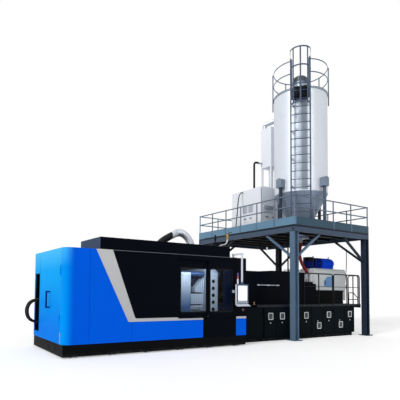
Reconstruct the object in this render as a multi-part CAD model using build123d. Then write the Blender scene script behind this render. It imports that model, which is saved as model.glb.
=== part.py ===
from build123d import *
from math import cos, radians, sin, sqrt, tan
import os

# PET preform injection moulding machine with its drying hopper on a platform.
# Lengths are in millimetres. While a piece is built, X runs from the clamp end
# towards the injection end, Y from the operator's side inwards and Z up from
# the floor. Every piece is then shifted so that the origin lies on the floor
# under the middle of the machine's outline.

# Clamp guard
GUARD_LENGTH = 5500
GUARD_DEPTH = 2530
GUARD_TOP = 2550
SKIRT_HEIGHT = 306
PANEL_WALL = 20
PANEL_GAP = 6
CORNER_RADIUS = 200
CORNER_LAND = 30
FIRST_SEAM = 630
STRIP_TOP_NEAR = 772
STRIP_TOP_FAR = 1203
STRIP_FOOT_NEAR = 1655
STRIP_FOOT_FAR = 1844
BAND_BOTTOM = 790
BAND_TOP = 870
BAND_REACH = 810
STRIP_WALL = 6
STRIP_BEND_RADIUS = 60
ACCENT_WIDTH = 378
ACCENT_CAP = 60
REAR_PANEL_COUNT = 3
END_WALL_HOLE_BOTTOM = 1180
ROOF_HOOD_START = 892
ROOF_HOOD_END_SETBACK = 576
ROOF_HOOD_FRONT = 50
ROOF_HOOD_DEPTH = 1329
ROOF_HOOD_HEIGHT = 307
HOOD_EDGE = 12
FRAME_BAR = 80
FRAME_INSET = 70

# End of the guard: door, fixed panel and hose bay
END_DOOR_WIDTH = 1080
END_DOOR_HINGE_RADIUS = 12
END_DOOR_HINGE_HEIGHT = 120
END_DOOR_FLOOR_GAP = 4
END_HANDLE_HEIGHT = 420
END_HANDLE_BOTTOM = 1110
END_HANDLE_REACH = 110
END_HANDLE_BAR = 34
END_HANDLE_SETBACK = 260
END_PANEL_WIDTH = 660
BAY_GAP = 20
BAY_RIM = 24
BAY_BOTTOM = 447
BAY_TOP = 1994
BAY_DEPTH = 160

# Operator gate
GATE_SILL = 870
GATE_HEAD = 2420
GATE_LAP = 12
GATE_WALL = 28
GATE_FIT = 0.5
GATE_TRACK = 30
COLUMN_WIDTH = 420
INNER_GATE_WIDTH = 990
OUTER_GATE_WIDTH = 972
INNER_TRACK_REACH = 960
WINDOW_INNER_START = 92
WINDOW_INNER_END = 61
WINDOW_OUTER_START = 54
WINDOW_OUTER_END = 158
WINDOW_BOTTOM = 1015
WINDOW_TOP = 2175
WINDOW_CORNER = 24
GLASS_WALL = 10
KNOB_RADIUS = 42
KNOB_REACH = 46
KNOB_STEM_RADIUS = 16
KNOB_STEM = 22
KNOB_SETBACK = 115
KNOB_HEIGHT = 1570

# Clamp unit behind the gate
AXIS_Y = 1300
CLAMP_AXIS_Z = 1450
PLATEN_WIDTH = 1500
PLATEN_HEIGHT = 1560
STATIONARY_SETBACK = 620
STATIONARY_PLATEN = 420
MOVING_PLATEN = 400
REAR_PLATEN_START = 420
REAR_PLATEN = 420
PLATEN_CHAMFER = 120
TIE_BAR_RADIUS = 75
TIE_BAR_FIT = 0.3
TIE_BAR_SPREAD_Y = 590
TIE_BAR_SPREAD_Z = 620
TIE_NUT_RADIUS = 120
TIE_NUT_LENGTH = 110
CLAMP_STROKE = 650
RAM_RADIUS = 210
RAM_FIT = 0.4
CYLINDER_RADIUS = 300
CYLINDER_LENGTH = 900
PLATEN_FOOT = 200
CORE_BACKPLATE = 140
CORE_PLATE = 160
CORE_PLATE_SETBACK = 110
CAVITY_PLATE = 260
CAVITY_BACKPLATE = 300
MOULD_WIDTH = 980
MOULD_HEIGHT = 1120
MOULD_GAP = 70
CORE_RADIUS = 26
CORE_LENGTH = 50
CORE_ROWS = 6
CORE_COLUMNS = 4
CORE_PITCH_Z = 150
CORE_PITCH_Y = 200
PORT_RADIUS = 34
PORT_PLATE_START = 115
PORT_PLATE_WIDTH = 225
PORT_PLATE_WALL = 30
PORT_PLATE_MARGIN = 90
PORT_COUNT = 5
PORT_PITCH = 205

# Operator panel
HMI_WIDTH = 430
HMI_HEIGHT = 530
HMI_WALL = 70
HMI_BOTTOM = 1250
HMI_EDGE_RADIUS = 18
HMI_STANDOFF = 245
HMI_SETBACK = 380
HMI_SHELF_HEIGHT = 92
HMI_SHELF_DEPTH = 110
HMI_BEZEL = 36
HMI_SCREEN_DEPTH = 4
POLE_RADIUS = 28
POLE_TOP = 2620
ARM_RISE = 46
ARM_FOOT = 130
ARM_FOOT_WALL = 16
ARM_BACK = 130
SOCKET_RADIUS = 42
SOCKET_LENGTH = 60
POLE_FIT = 0.5
ESTOP_RADIUS = 30
ESTOP_TRAVEL = 8
ESTOP_HEAD = 22
ESTOP_COLLAR_RADIUS = 38
ESTOP_COLLAR = 14
ESTOP_STEM_RADIUS = 14
ESTOP_FIT = 0.3
ESTOP_HEIGHT = 1040
ESTOP_SETBACK = 110

# Base
PAD_SIZE = 150
PAD_HEIGHT = 30
BED_BEAM = 200
BED_LIP = 10
BED_PADS = 6
RAIL_HEIGHT = 100
RAIL_WIDTH = 120
RAIL_SPREAD = 240
RAIL_TOP = 1150
PEDESTAL = 160
PEDESTAL_COUNT = 5

# Control cabinets and walkway
CABINET_FRONT = 420
CABINET_DEPTH = 530
CABINET_BOTTOM = 120
CABINET_TOP = 1080
CABINET_START = 1150
CABINET_WALL = 16
DOOR_WALL = 28
DOOR_GAP = 20
DOOR_MARGIN = 10
NEAR_DOORS = 2
NEAR_DOOR_PITCH = 526
BLANK_WIDTH = 585
FAR_DOORS = 5
FAR_DOOR_PITCH = 588
DOOR_KNUCKLE_RADIUS = 9
DOOR_KNUCKLE_LENGTH = 70
DOOR_KNUCKLE_INSET = 90
HINGE_FIT = 0.3
BREATHER_WIDTH = 205
BREATHER_HEIGHT = 215
BREATHER_WALL = 24
BREATHER_HIGH = 790
BREATHER_LOW = 425
BREATHER_LOW_SHIFT = 65
LATCH_HEIGHT = 578
LATCH_RADIUS = 34
LATCH_REACH = 14
GEAR_PLATE = 8
GEAR_DEPTH = 180
GEAR_ROWS = 2
PLINTH_SETBACK = 50
DECK_EDGE = 68
WALKWAY_START = 850
WALKWAY_END_RUN = 390
HANDRAIL_TUBE = 20
HANDRAIL_TOP = 2240
HANDRAIL_MID = 1767
HANDRAIL_BEND = 90
HANDRAIL_INSET = 30
HANDRAIL_WIDTH = 1500
HANDRAIL_GAP = 55
HOOP_TUBE = 15
HOOP_SETBACK = 107
HOOP_LENGTH = 530
HOOP_BAR = 172
HOOP_TOP = 422
HOOP_SHOULDER = 270
HOOP_BEND = 50

# Injection unit on its carriage
EXTRUDER_Z = 1800
CARRIAGE_TRAVEL = 200
CARRIAGE_START = 1500
CARRIAGE_TAIL = 170
CARRIAGE_WIDTH = 440
CARRIAGE_WALL = 120
POT_RADIUS = 170
POT_LENGTH = 2300
POT_START = 250
POT_BLOCK = 300
NOZZLE_RADIUS = 70
NOZZLE_TIP_RADIUS = 28
NOZZLE_TIP = 120
BARREL_RADIUS = 130
BARREL_BORE = 65
BARREL_LENGTH = 3350
BAND_RADIUS = 165
BAND_LENGTH = 260
BAND_COUNT = 9
SCREW_FIT = 0.4
SCREW_TAIL = 240
BARREL_SADDLE = 174
THROAT_LENGTH = 320
THROAT_HEIGHT = 300
THROAT_LEAD = 130
THROAT_FOOT_GAP = 20
INLET_RADIUS = 42
INLET_HEIGHT = 300
HOUSING_LENGTH = 1830
HOUSING_FRONT = 200
HOUSING_DEPTH = 650
HOUSING_BOTTOM = 1655
HOUSING_TOP = 2465
HOUSING_LEG = 70
HOUSING_CHAMFER = 60
BELT_GUARD_LENGTH = 900
BELT_GUARD_DEPTH = 260
BELT_GUARD_HEIGHT = 120
SERVICE_PANEL_WIDTH = 470
SERVICE_PANEL_HEIGHT = 376
SERVICE_PANEL_SETBACK = 560
SERVICE_PANEL_BOTTOM = 135
SERVICE_PANEL_CUT = 190
SERVICE_PANEL_WALL = 12
TERMINAL_WIDTH = 90
TERMINAL_HEIGHT = 155
TERMINAL_BOTTOM = 60
MOTOR_RADIUS = 185
MOTOR_LENGTH = 1080
MOTOR_START = 260
MOTOR_FOOT = 30
MOTOR_FOOT_WIDTH = 300
DRUM_RADIUS = 185
DRUM_HEIGHT = 270
DRUM_CAP_RADIUS = 192
DRUM_CAP = 150
EYE_RADIUS = 34
EYE_WIRE = 9

# Covers over the barrel
COVER_FRONT = 300
COVER_TOP = 2250
COVER_STEP = 40
COVER_WALL = 12
COVER_FIRST = 1335
COVER_SECOND = 745
COVER_THIRD = 990
COVER_FOURTH = 640
COVER_FOURTH_STEP = 20
COVER_LAST = 620
COVER_LOW_TOP = 1880

# Platform
PLATFORM_START = 2210
PLATFORM_LENGTH = 4006
PLATFORM_FRONT = 130
PLATFORM_DEPTH = 5250
BEAM_BOTTOM = 3563
BEAM_HEIGHT = 180
BEAM_FLANGE = 90
BEAM_WALL = 14
POST_SIZE = 200
POST_FLANGE = 15
POST_WEB = 10
POST_BACK_SETBACK = 780
BASE_PLATE = 360
BASE_PLATE_WALL = 20
BASE_HOLE_PITCH = 280
BASE_HOLE_RADIUS = 12
BRACE_BAR = 70
BRACE_DROP = 830
BRACE_RUN = 1150
JOIST_WIDTH = 60
JOIST_HEIGHT = 100
JOIST_PITCH = 640
JOIST_COUNT = 6
DECK_WALL = 30
DECK_HOLE = 640
TOE_HEIGHT = 284
TOE_WALL = 8
RAIL_POST_RADIUS = 22
RAIL_RADIUS = 21
RAIL_RISE = 1020
RAIL_MID_RISE = 624
SIDE_BAYS = 6
FRONT_BAYS = 4

# Tower
TOWER_X = 3990
TOWER_Y = 1400
HOPPER_RADIUS = 960
HOPPER_BOTTOM = 5170
HOPPER_TOP = 8940
OUTLET_RADIUS = 150
OUTLET_BOTTOM = 3620
RIM_RADIUS = 978
RIM_HEIGHT = 70
ROOF_RISE = 90
ROOF_FLAT_RADIUS = 330
LEG_COUNT = 4
LEG_SIZE = 85
LEG_PAD = 220
LEG_PAD_WALL = 18
HEAD_WIDTH = 240
HEAD_DEPTH = 200
HEAD_BOTTOM = 5330
HEAD_HEIGHT = 350
HEAD_PEAK = 50
LADDER_AZIMUTH = 221
LADDER_REACH = 1200
LADDER_WIDTH = 594
STILE = 50
STILE_TOP = 9850
RUNG_RADIUS = 13
RUNG_PITCH = 288
RUNG_FIRST = 294
RUNG_COUNT = 18
BRACKET_COUNT = 4
BRACKET_FIRST = 1564
BRACKET_PITCH = 1000
BRACKET_BAR = 36
CAGE_LEG = 115
CAGE_BAR = 50
CAGE_WALL = 8
CAGE_BOTTOM = 8050
CAGE_TOP = 10030
CAGE_HOOPS = 4
CAGE_STRAPS = 5
CAGE_ARCS = 4
LANDING_BOTTOM = 8470
LANDING_TOP = 8840
TOP_RAIL_TOP = 9950
TOP_RAIL_MID = 9480
TOP_RAIL_BAR = 36
TOP_RAIL_WALL = 14
TOP_POST_BOTTOM = 8500
TOP_POST_RADIUS = 22
TOP_GAP_ANGLE = 17
TOP_POST_ANGLES = (90, 135, 180, 213, 270)
TOP_RAIL_ARCS = 8
RECEIVER_RADIUS = 255
RECEIVER_HEIGHT = 560
RECEIVER_NECK_RADIUS = 110
RECEIVER_NECK = 80
RECEIVER_DOME = 110
GATE_BLADE_WIDTH = 340
GATE_BLADE_WALL = 12
GATE_BLADE_TRAVEL = 330
GATE_FRAME = 30
BLADE_FIT = 0.4
BLADE_GRIP = 60
SPOUT_RADIUS = 66
SPOUT_LENGTH = 90

# Dryer on the platform
DRYER_X = 3230
DRYER_Y = 1240
DRYER_LENGTH = 1500
DRYER_DEPTH = 1780
DRYER_HEIGHT = 1934
DRYER_WALL = 30
DRYER_DOOR_WIDTH = 760
DRYER_DOOR_MARGIN = 60
FILTER_X = 500
FILTER_Y = 0
FILTER_LENGTH = 620
FILTER_DEPTH = 560
FILTER_RISE = 890
FILTER_HEIGHT = 1600
FILTER_LEG = 70
DUCT_RADIUS = 95
DUCT_INSET = 105
DUCT_RISE = 205
DUCT_BEND = 190
BLACK_HOSE_RADIUS = 42
BLACK_HOSE_REACH = 430
BLACK_HOSE_RISE = 200
BLACK_HOSE_BEND = 200
BLACK_HOSE_SHARE = 0.9
ROOF_HOSE_RADIUS = 105
ROOF_HOSE_SETBACK = 2300
ROOF_HOSE_Y = 1200
ROOF_HOSE_RISE = 150
ROOF_HOSE_SHARE = 0.78
ROOF_DUCT_RADIUS = 118
ROOF_DUCT_SETBACK = 1510
ROOF_DUCT_PEAK = 3370
ROOF_DUCT_END_SETBACK = 1140
ROOF_DUCT_KNEE = 210

# Free hoses
END_HOSE_RADIUS = 38
END_HOSE_MIDDLE = 985
END_HOSE_SPREAD = 310
END_HOSE_LEAVE = 60
END_HOSE_REACH = 285
END_HOSE_TURN_SHARE = 0.36
END_HOSE_WAIST_SHARE = 0.82
END_HOSE_PLACES = (2160, 2300)
FEED_HOSE_RADIUS = 59
FEED_SHARES = ((0, 0, 0.1), (-80, 10, 0.27), (-104, 28, 0.45), (-50, 56, 0.65), (70, 84, 0.81))
FEED_END_RUN = 90
DRYER_CABLE_RADIUS = 20
DRYER_CABLE_LEAVE = 220
DRYER_CABLE_PLACE = 1094
DRYER_CABLE_DROP = 60
DRYER_CABLE_SAG = 60
DRYER_CABLE_FOOT_X = 120
DRYER_CABLE_FOOT_Y = 510
DRYER_CABLE_FOOT_RUN = 150
DRIVE_CABLE_RADIUS = 14
DRIVE_CABLE_RUN = 140
DRIVE_CABLE_BRACE_SHARE = 0.58
DRIVE_CABLE_BOW = 40

HALF = 0.5
QUARTER_TURN = 90
FULL_TURN = 360
ARC_SHARE = 0.45

# Places that several pieces share
TRIM_TOP_X = (STRIP_TOP_NEAR + STRIP_TOP_FAR) * HALF
TRIM_FOOT_X = (STRIP_FOOT_NEAR + STRIP_FOOT_FAR) * HALF
TRIM_FOOT_Z = (BAND_BOTTOM + BAND_TOP) * HALF
GATE_END = GUARD_LENGTH - COLUMN_WIDTH
OUTER_GATE_START = GATE_END - OUTER_GATE_WIDTH
GATE_START = OUTER_GATE_START + GATE_LAP - INNER_GATE_WIDTH
BAND_END = GATE_START + BAND_REACH
INNER_GATE_Y = PANEL_WALL + GATE_LAP * HALF
OUTER_GATE_Y = -GATE_WALL - GATE_LAP * HALF
ACCENT_START = GUARD_LENGTH - ACCENT_WIDTH
DOOR_START_Y = CORNER_RADIUS + CORNER_LAND + PANEL_GAP
DOOR_END_Y = DOOR_START_Y + END_DOOR_WIDTH
BAY_START_Y = DOOR_END_Y + PANEL_GAP + END_PANEL_WIDTH + BAY_GAP
STATIONARY_START = GUARD_LENGTH - STATIONARY_SETBACK - STATIONARY_PLATEN
CAVITY_START = STATIONARY_START - CAVITY_BACKPLATE - CAVITY_PLATE
CORE_FACE = CAVITY_START - MOULD_GAP
MOVING_FACE = CORE_FACE - CORE_PLATE - CORE_BACKPLATE
MOVING_START = MOVING_FACE - MOVING_PLATEN
REAR_FACE = REAR_PLATEN_START + REAR_PLATEN
CABINET_X = GUARD_LENGTH + CABINET_START
BLANK_X = CABINET_X + NEAR_DOORS * NEAR_DOOR_PITCH
FAR_X = BLANK_X + BLANK_WIDTH
CABINET_END = FAR_X + FAR_DOORS * FAR_DOOR_PITCH
CABINET_FACE = CABINET_FRONT + DOOR_WALL + GATE_FIT
CABINET_BACK = CABINET_FRONT + CABINET_DEPTH
WALK_TOP = CABINET_TOP + DECK_EDGE
WALK_END = CABINET_END + WALKWAY_END_RUN
CARRIAGE_X = GUARD_LENGTH + CARRIAGE_START
CARRIAGE_TOP = RAIL_TOP + CARRIAGE_WALL
POT_END = CARRIAGE_X + POT_START + POT_LENGTH
THROAT_X = POT_END + THROAT_LEAD
HOUSING_X = THROAT_X + THROAT_LENGTH * HALF
HOUSING_Y = AXIS_Y - HOUSING_FRONT
HOUSING_END = HOUSING_X + HOUSING_LENGTH
CARRIAGE_END = HOUSING_END - CARRIAGE_TAIL
PLATFORM_X = GUARD_LENGTH + PLATFORM_START
PLATFORM_END = PLATFORM_X + PLATFORM_LENGTH
PLATFORM_BACK = PLATFORM_FRONT + PLATFORM_DEPTH
BEAM_TOP = BEAM_BOTTOM + BEAM_HEIGHT
DECK_TOP = BEAM_TOP + DECK_WALL
AXIS_X = GUARD_LENGTH + TOWER_X
LADDER_COS = cos(radians(LADDER_AZIMUTH))
LADDER_SIN = sin(radians(LADDER_AZIMUTH))
DRYER_X0 = GUARD_LENGTH + DRYER_X
DRYER_Y0 = TOWER_Y + DRYER_Y
DRYER_TOP = DECK_TOP + DRYER_HEIGHT
PANEL_SWIVEL_X = GUARD_LENGTH - HMI_SETBACK
PANEL_SWIVEL_Y = -HMI_STANDOFF
ROOF_HOSE_X = GUARD_LENGTH - ROOF_HOSE_SETBACK
ROOF_DUCT_X = GUARD_LENGTH - ROOF_DUCT_SETBACK
ROOF_DUCT_END = GUARD_LENGTH - ROOF_DUCT_END_SETBACK

# Middle of the outline, seen from above
FRAME_X = (PLATFORM_END + (BASE_PLATE - POST_SIZE) * HALF - END_HANDLE_REACH) * HALF
FRAME_Y = (PLATFORM_BACK - HMI_STANDOFF - HMI_WALL * HALF - HMI_SHELF_DEPTH) * HALF


def block(x0, x1, y0, y1, z0, z1):
    """A box between two values on each axis."""
    middle = Pos((x0 + x1) * HALF, (y0 + y1) * HALF, (z0 + z1) * HALF)
    return middle * Box(x1 - x0, y1 - y0, z1 - z0)


def rod_x(x0, x1, y, z, radius):
    """A round bar along X."""
    return Pos((x0 + x1) * HALF, y, z) * Rot(0, QUARTER_TURN, 0) * Cylinder(radius, x1 - x0)


def rod_y(x, y0, y1, z, radius):
    """A round bar along Y."""
    return Pos(x, (y0 + y1) * HALF, z) * Rot(QUARTER_TURN, 0, 0) * Cylinder(radius, y1 - y0)


def rod_z(x, y, z0, z1, radius):
    """A round bar along Z."""
    return Pos(x, y, (z0 + z1) * HALF) * Cylinder(radius, z1 - z0)


def bar(start, end, width, depth, side):
    """A square-cut bar from one point to another; side is the direction of its width."""
    run = Vector(*end) - Vector(*start)
    plane = Plane(origin=start, x_dir=side, z_dir=run)
    return plane * Box(width, depth, run.length, align=(Align.CENTER, Align.CENTER, Align.MIN))


def front_plate(points, y0, y1):
    """A plate whose outline is drawn in X and Z on the operator's side."""
    face = make_face(Polyline(*points, close=True))
    return extrude(Plane.XZ.offset(-y0) * face, amount=y1 - y0, dir=(0, 1, 0))


def group(*shapes):
    """Separate solids that belong to one piece."""
    solids = []
    for shape in shapes:
        solids.extend(shape.solids())
    return Compound(solids)


def spaced(first, last, count):
    """Evenly spaced places from first to last."""
    return [first + (last - first) * i / (count - 1) for i in range(count)]


def hose(points, radius):
    """A round hose along a route of points: straight runs joined by tangent arcs."""
    route = [Vector(*point) for point in points]
    radii = []
    for before, here, after in zip(route, route[1:], route[2:]):
        run_in = here - before
        run_out = after - here
        turn = radians(run_in.get_angle(run_out))
        radii.append(ARC_SHARE * min(run_in.length, run_out.length) / tan(turn * HALF))
    path = FilletPolyline(*route, radius=radii)
    section = Plane(origin=path @ 0, z_dir=path % 0) * Circle(radius)
    return sweep(section, path=path)


# Base

def machine_bed():
    """Welded base: ring of box beams under the clamp, two beams and raised rails on the injection side."""
    near = BED_LIP
    far = GUARD_DEPTH - BED_LIP
    right = GUARD_LENGTH - BED_LIP
    beams = [
        block(near, right, near, near + BED_BEAM, PAD_HEIGHT, SKIRT_HEIGHT),
        block(near, right, far - BED_BEAM, far, PAD_HEIGHT, SKIRT_HEIGHT),
    ]
    for x in spaced(near, right - BED_BEAM, PEDESTAL_COUNT):
        beams.append(block(x, x + BED_BEAM, near + BED_BEAM, far - BED_BEAM, PAD_HEIGHT, SKIRT_HEIGHT))
    for side in (-1, 1):
        y = AXIS_Y + side * RAIL_SPREAD
        beams.append(block(right, HOUSING_END, y - BED_BEAM * HALF, y + BED_BEAM * HALF,
                           PAD_HEIGHT, SKIRT_HEIGHT))
        beams.append(block(GUARD_LENGTH + PANEL_GAP, HOUSING_END, y - RAIL_WIDTH * HALF,
                           y + RAIL_WIDTH * HALF, RAIL_TOP - RAIL_HEIGHT, RAIL_TOP))
        for x in spaced(GUARD_LENGTH + PEDESTAL, HOUSING_END - PEDESTAL, PEDESTAL_COUNT):
            beams.append(block(x - PEDESTAL * HALF, x + PEDESTAL * HALF, y - RAIL_WIDTH * HALF,
                               y + RAIL_WIDTH * HALF, SKIRT_HEIGHT, RAIL_TOP - RAIL_HEIGHT))
    return group(*beams)


def levelling_pads():
    """Square levelling pads under the beams."""
    pads = []
    rows = (BED_LIP + BED_BEAM * HALF, GUARD_DEPTH - BED_LIP - BED_BEAM * HALF)
    for y in rows:
        for x in spaced(PAD_SIZE * 2, GUARD_LENGTH - PAD_SIZE * 2, BED_PADS):
            pads.append(block(x - PAD_SIZE * HALF, x + PAD_SIZE * HALF, y - PAD_SIZE * HALF,
                              y + PAD_SIZE * HALF, 0, PAD_HEIGHT))
    for side in (-1, 1):
        y = AXIS_Y + side * RAIL_SPREAD
        for x in spaced(GUARD_LENGTH + PAD_SIZE, HOUSING_END - PAD_SIZE, BED_PADS):
            pads.append(block(x - PAD_SIZE * HALF, x + PAD_SIZE * HALF, y - PAD_SIZE * HALF,
                              y + PAD_SIZE * HALF, 0, PAD_HEIGHT))
    return group(*pads)


# Clamp guard

def guard_frame():
    """Square tube skeleton that carries the roof and the panels."""
    top = GUARD_TOP - PANEL_WALL
    left = CORNER_RADIUS + CORNER_LAND
    right = GUARD_LENGTH - PANEL_WALL
    front = FRAME_INSET
    back = GUARD_DEPTH - PANEL_WALL
    bars = []
    for x0 in (left, right - FRAME_BAR):
        for y0 in (front, back - FRAME_BAR):
            bars.append(block(x0, x0 + FRAME_BAR, y0, y0 + FRAME_BAR, SKIRT_HEIGHT, top - FRAME_BAR))
        bars.append(block(x0, x0 + FRAME_BAR, front, back, top - FRAME_BAR, top))
    for y0 in (front, back - FRAME_BAR):
        bars.append(block(left + FRAME_BAR, right - FRAME_BAR, y0, y0 + FRAME_BAR, top - FRAME_BAR, top))
    return group(*bars)


def corner_panel():
    """Blue sheet that turns the front left corner with a large radius."""
    reach_x = FIRST_SEAM - PANEL_GAP * HALF
    reach_y = CORNER_RADIUS + CORNER_LAND
    wall = PANEL_WALL
    outer = FilletPolyline((reach_x, 0), (0, 0), (0, reach_y), radius=CORNER_RADIUS)
    inner = FilletPolyline((reach_x, wall), (wall, wall), (wall, reach_y), radius=CORNER_RADIUS - wall)
    ends = [Line((reach_x, 0), (reach_x, wall)), Line((0, reach_y), (wall, reach_y))]
    face = make_face(outer.edges() + inner.edges() + [end.edge() for end in ends])
    sheet = Pos(0, 0, SKIRT_HEIGHT) * extrude(face, amount=GUARD_TOP - SKIRT_HEIGHT)
    r = END_DOOR_HINGE_RADIUS
    hinges = []
    for z in end_hinge_levels():
        low = z - END_DOOR_HINGE_HEIGHT - HINGE_FIT
        barrel = rod_z(-r, DOOR_START_Y + r, low, z - HINGE_FIT, r)
        leaf = block(-r * HALF, 0, CORNER_RADIUS, DOOR_START_Y + r * HALF, low, z - HINGE_FIT)
        hinges.append(barrel + leaf)
    return group(sheet, *hinges)


def end_hinge_levels():
    """Lower levels of the end door's two hinge barrels."""
    z0 = SKIRT_HEIGHT + END_DOOR_FLOOR_GAP
    return (z0 + END_DOOR_WIDTH * HALF, GUARD_TOP - END_DOOR_WIDTH * HALF)


def front_blue_panel():
    """Blue front panel, cut on the slant of the trim strip."""
    left = FIRST_SEAM + PANEL_GAP * HALF
    shift = PANEL_GAP * HALF
    points = [
        (left, SKIRT_HEIGHT),
        (TRIM_FOOT_X - shift, SKIRT_HEIGHT),
        (TRIM_FOOT_X - shift, TRIM_FOOT_Z),
        (TRIM_TOP_X - shift, GUARD_TOP),
        (left, GUARD_TOP),
    ]
    return front_plate(points, 0, PANEL_WALL)


def lower_blue_panels():
    """Blue panel under the band, and the small blue panel under the operator panel."""
    shift = PANEL_GAP * HALF
    long_panel = block(TRIM_FOOT_X + shift, BAND_END, 0, PANEL_WALL, SKIRT_HEIGHT, TRIM_FOOT_Z - shift)
    accent = block(ACCENT_START, GUARD_LENGTH, 0, PANEL_WALL, SKIRT_HEIGHT, BAND_BOTTOM)
    return group(long_panel, accent)


def silver_trim():
    """Brushed strip: slanted leg, horizontal band, and the cap on the small blue panel."""
    points = [
        (STRIP_TOP_NEAR, GUARD_TOP),
        (STRIP_FOOT_NEAR, BAND_BOTTOM),
        (BAND_END, BAND_BOTTOM),
        (BAND_END, BAND_TOP),
        (STRIP_FOOT_FAR, BAND_TOP),
        (STRIP_TOP_FAR, GUARD_TOP),
    ]
    face = make_face(Polyline(*points, close=True))
    bends = [v for v in face.vertices() if v.X in (STRIP_FOOT_NEAR, STRIP_FOOT_FAR)]
    face = fillet(bends, STRIP_BEND_RADIUS)
    strip = extrude(Plane.XZ * face, amount=STRIP_WALL)
    cap = block(ACCENT_START, GUARD_LENGTH, -STRIP_WALL, 0, BAND_BOTTOM, BAND_BOTTOM + ACCENT_CAP)
    return group(strip, cap)


def black_front_panels():
    """Black panel beside the strip, gate header, sill, kick panel and control column."""
    shift = PANEL_GAP * HALF
    foot = TRIM_FOOT_Z + shift
    points = [
        (TRIM_TOP_X + shift, GUARD_TOP),
        (TRIM_FOOT_X + shift, foot),
        (GATE_START, foot),
        (GATE_START, GUARD_TOP),
    ]
    kick_end = ACCENT_START - PANEL_GAP
    wall = PANEL_WALL
    return group(
        front_plate(points, 0, wall),
        block(GATE_START + PANEL_GAP, GUARD_LENGTH, 0, wall, GATE_HEAD, GUARD_TOP),
        block(GATE_START, GATE_END, 0, wall, foot, GATE_SILL),
        block(BAND_END + PANEL_GAP, kick_end, 0, wall, SKIRT_HEIGHT, foot),
        block(GATE_END, GUARD_LENGTH, 0, wall, BAND_BOTTOM + foot - TRIM_FOOT_Z, GATE_HEAD),
    )


def end_panels():
    """Fixed blue end panel, and the framed bay at the rear edge where hoses come out."""
    start = DOOR_END_Y + PANEL_GAP
    wall = PANEL_WALL
    end = GUARD_DEPTH - wall
    rim_end = end - BAY_RIM
    rim_start = BAY_START_Y + BAY_RIM
    return group(
        block(0, wall, start, start + END_PANEL_WIDTH, SKIRT_HEIGHT, GUARD_TOP),
        block(0, wall, BAY_START_Y, end, BAY_TOP, GUARD_TOP),
        block(0, wall, BAY_START_Y, end, SKIRT_HEIGHT, BAY_BOTTOM),
        block(0, wall, BAY_START_Y, rim_start, BAY_BOTTOM, BAY_TOP),
        block(0, wall, rim_end, end, BAY_BOTTOM, BAY_TOP),
    )


def hose_bay():
    """Black lining of the hose bay: back, two sides, top and floor."""
    wall = PANEL_WALL
    y0 = BAY_START_Y
    y1 = GUARD_DEPTH - wall
    x1 = wall + BAY_DEPTH
    return group(
        block(x1, x1 + wall, y0, y1, SKIRT_HEIGHT, BAY_TOP),
        block(wall, x1, y0, y0 + wall, BAY_BOTTOM, BAY_TOP - wall),
        block(wall, x1, y1 - wall, y1, BAY_BOTTOM, BAY_TOP - wall),
        block(wall, x1, y0, y1, BAY_TOP - wall, BAY_TOP),
        block(wall, x1, y0, y1, BAY_BOTTOM - wall, BAY_BOTTOM),
    )


def rear_panels():
    """Black panels of the far side, and the end wall that the injection unit reaches through."""
    panels = []
    wall = PANEL_WALL
    y0 = GUARD_DEPTH - wall
    pitch = GUARD_LENGTH / REAR_PANEL_COUNT
    for i in range(REAR_PANEL_COUNT):
        x_end = (i + 1) * pitch - PANEL_GAP
        panels.append(block(i * pitch, x_end, y0, GUARD_DEPTH, SKIRT_HEIGHT, GUARD_TOP))
    x0 = GUARD_LENGTH - wall
    near = AXIS_Y - COVER_FRONT + COVER_WALL
    far = AXIS_Y + COVER_FRONT - COVER_WALL
    top = COVER_TOP - COVER_WALL
    panels.append(block(x0, GUARD_LENGTH, wall, near, SKIRT_HEIGHT, GUARD_TOP))
    panels.append(block(x0, GUARD_LENGTH, far, y0, SKIRT_HEIGHT, GUARD_TOP))
    panels.append(block(x0, GUARD_LENGTH, near, far, top, GUARD_TOP))
    panels.append(block(x0, GUARD_LENGTH, near, far, SKIRT_HEIGHT, END_WALL_HOLE_BOTTOM))
    return group(*panels)


def roof_panel():
    """Roof sheet inside the upper edges of the panels."""
    margin = PANEL_WALL + PANEL_GAP
    plate = block(margin, GUARD_LENGTH - margin, margin, GUARD_DEPTH - margin,
                  GUARD_TOP - PANEL_WALL, GUARD_TOP)
    corner = plate.edges().filter_by(Axis.Z).sort_by(lambda e: e.center().X + e.center().Y)[0]
    return fillet(corner, CORNER_RADIUS - margin)


def roof_hood():
    """Black hood along the front of the roof."""
    end = GUARD_LENGTH - ROOF_HOOD_END_SETBACK
    hood = block(ROOF_HOOD_START, end, ROOF_HOOD_FRONT, ROOF_HOOD_FRONT + ROOF_HOOD_DEPTH,
                 GUARD_TOP, GUARD_TOP + ROOF_HOOD_HEIGHT)
    return chamfer(hood.edges().group_by(Axis.Z)[-1], HOOD_EDGE)


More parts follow.
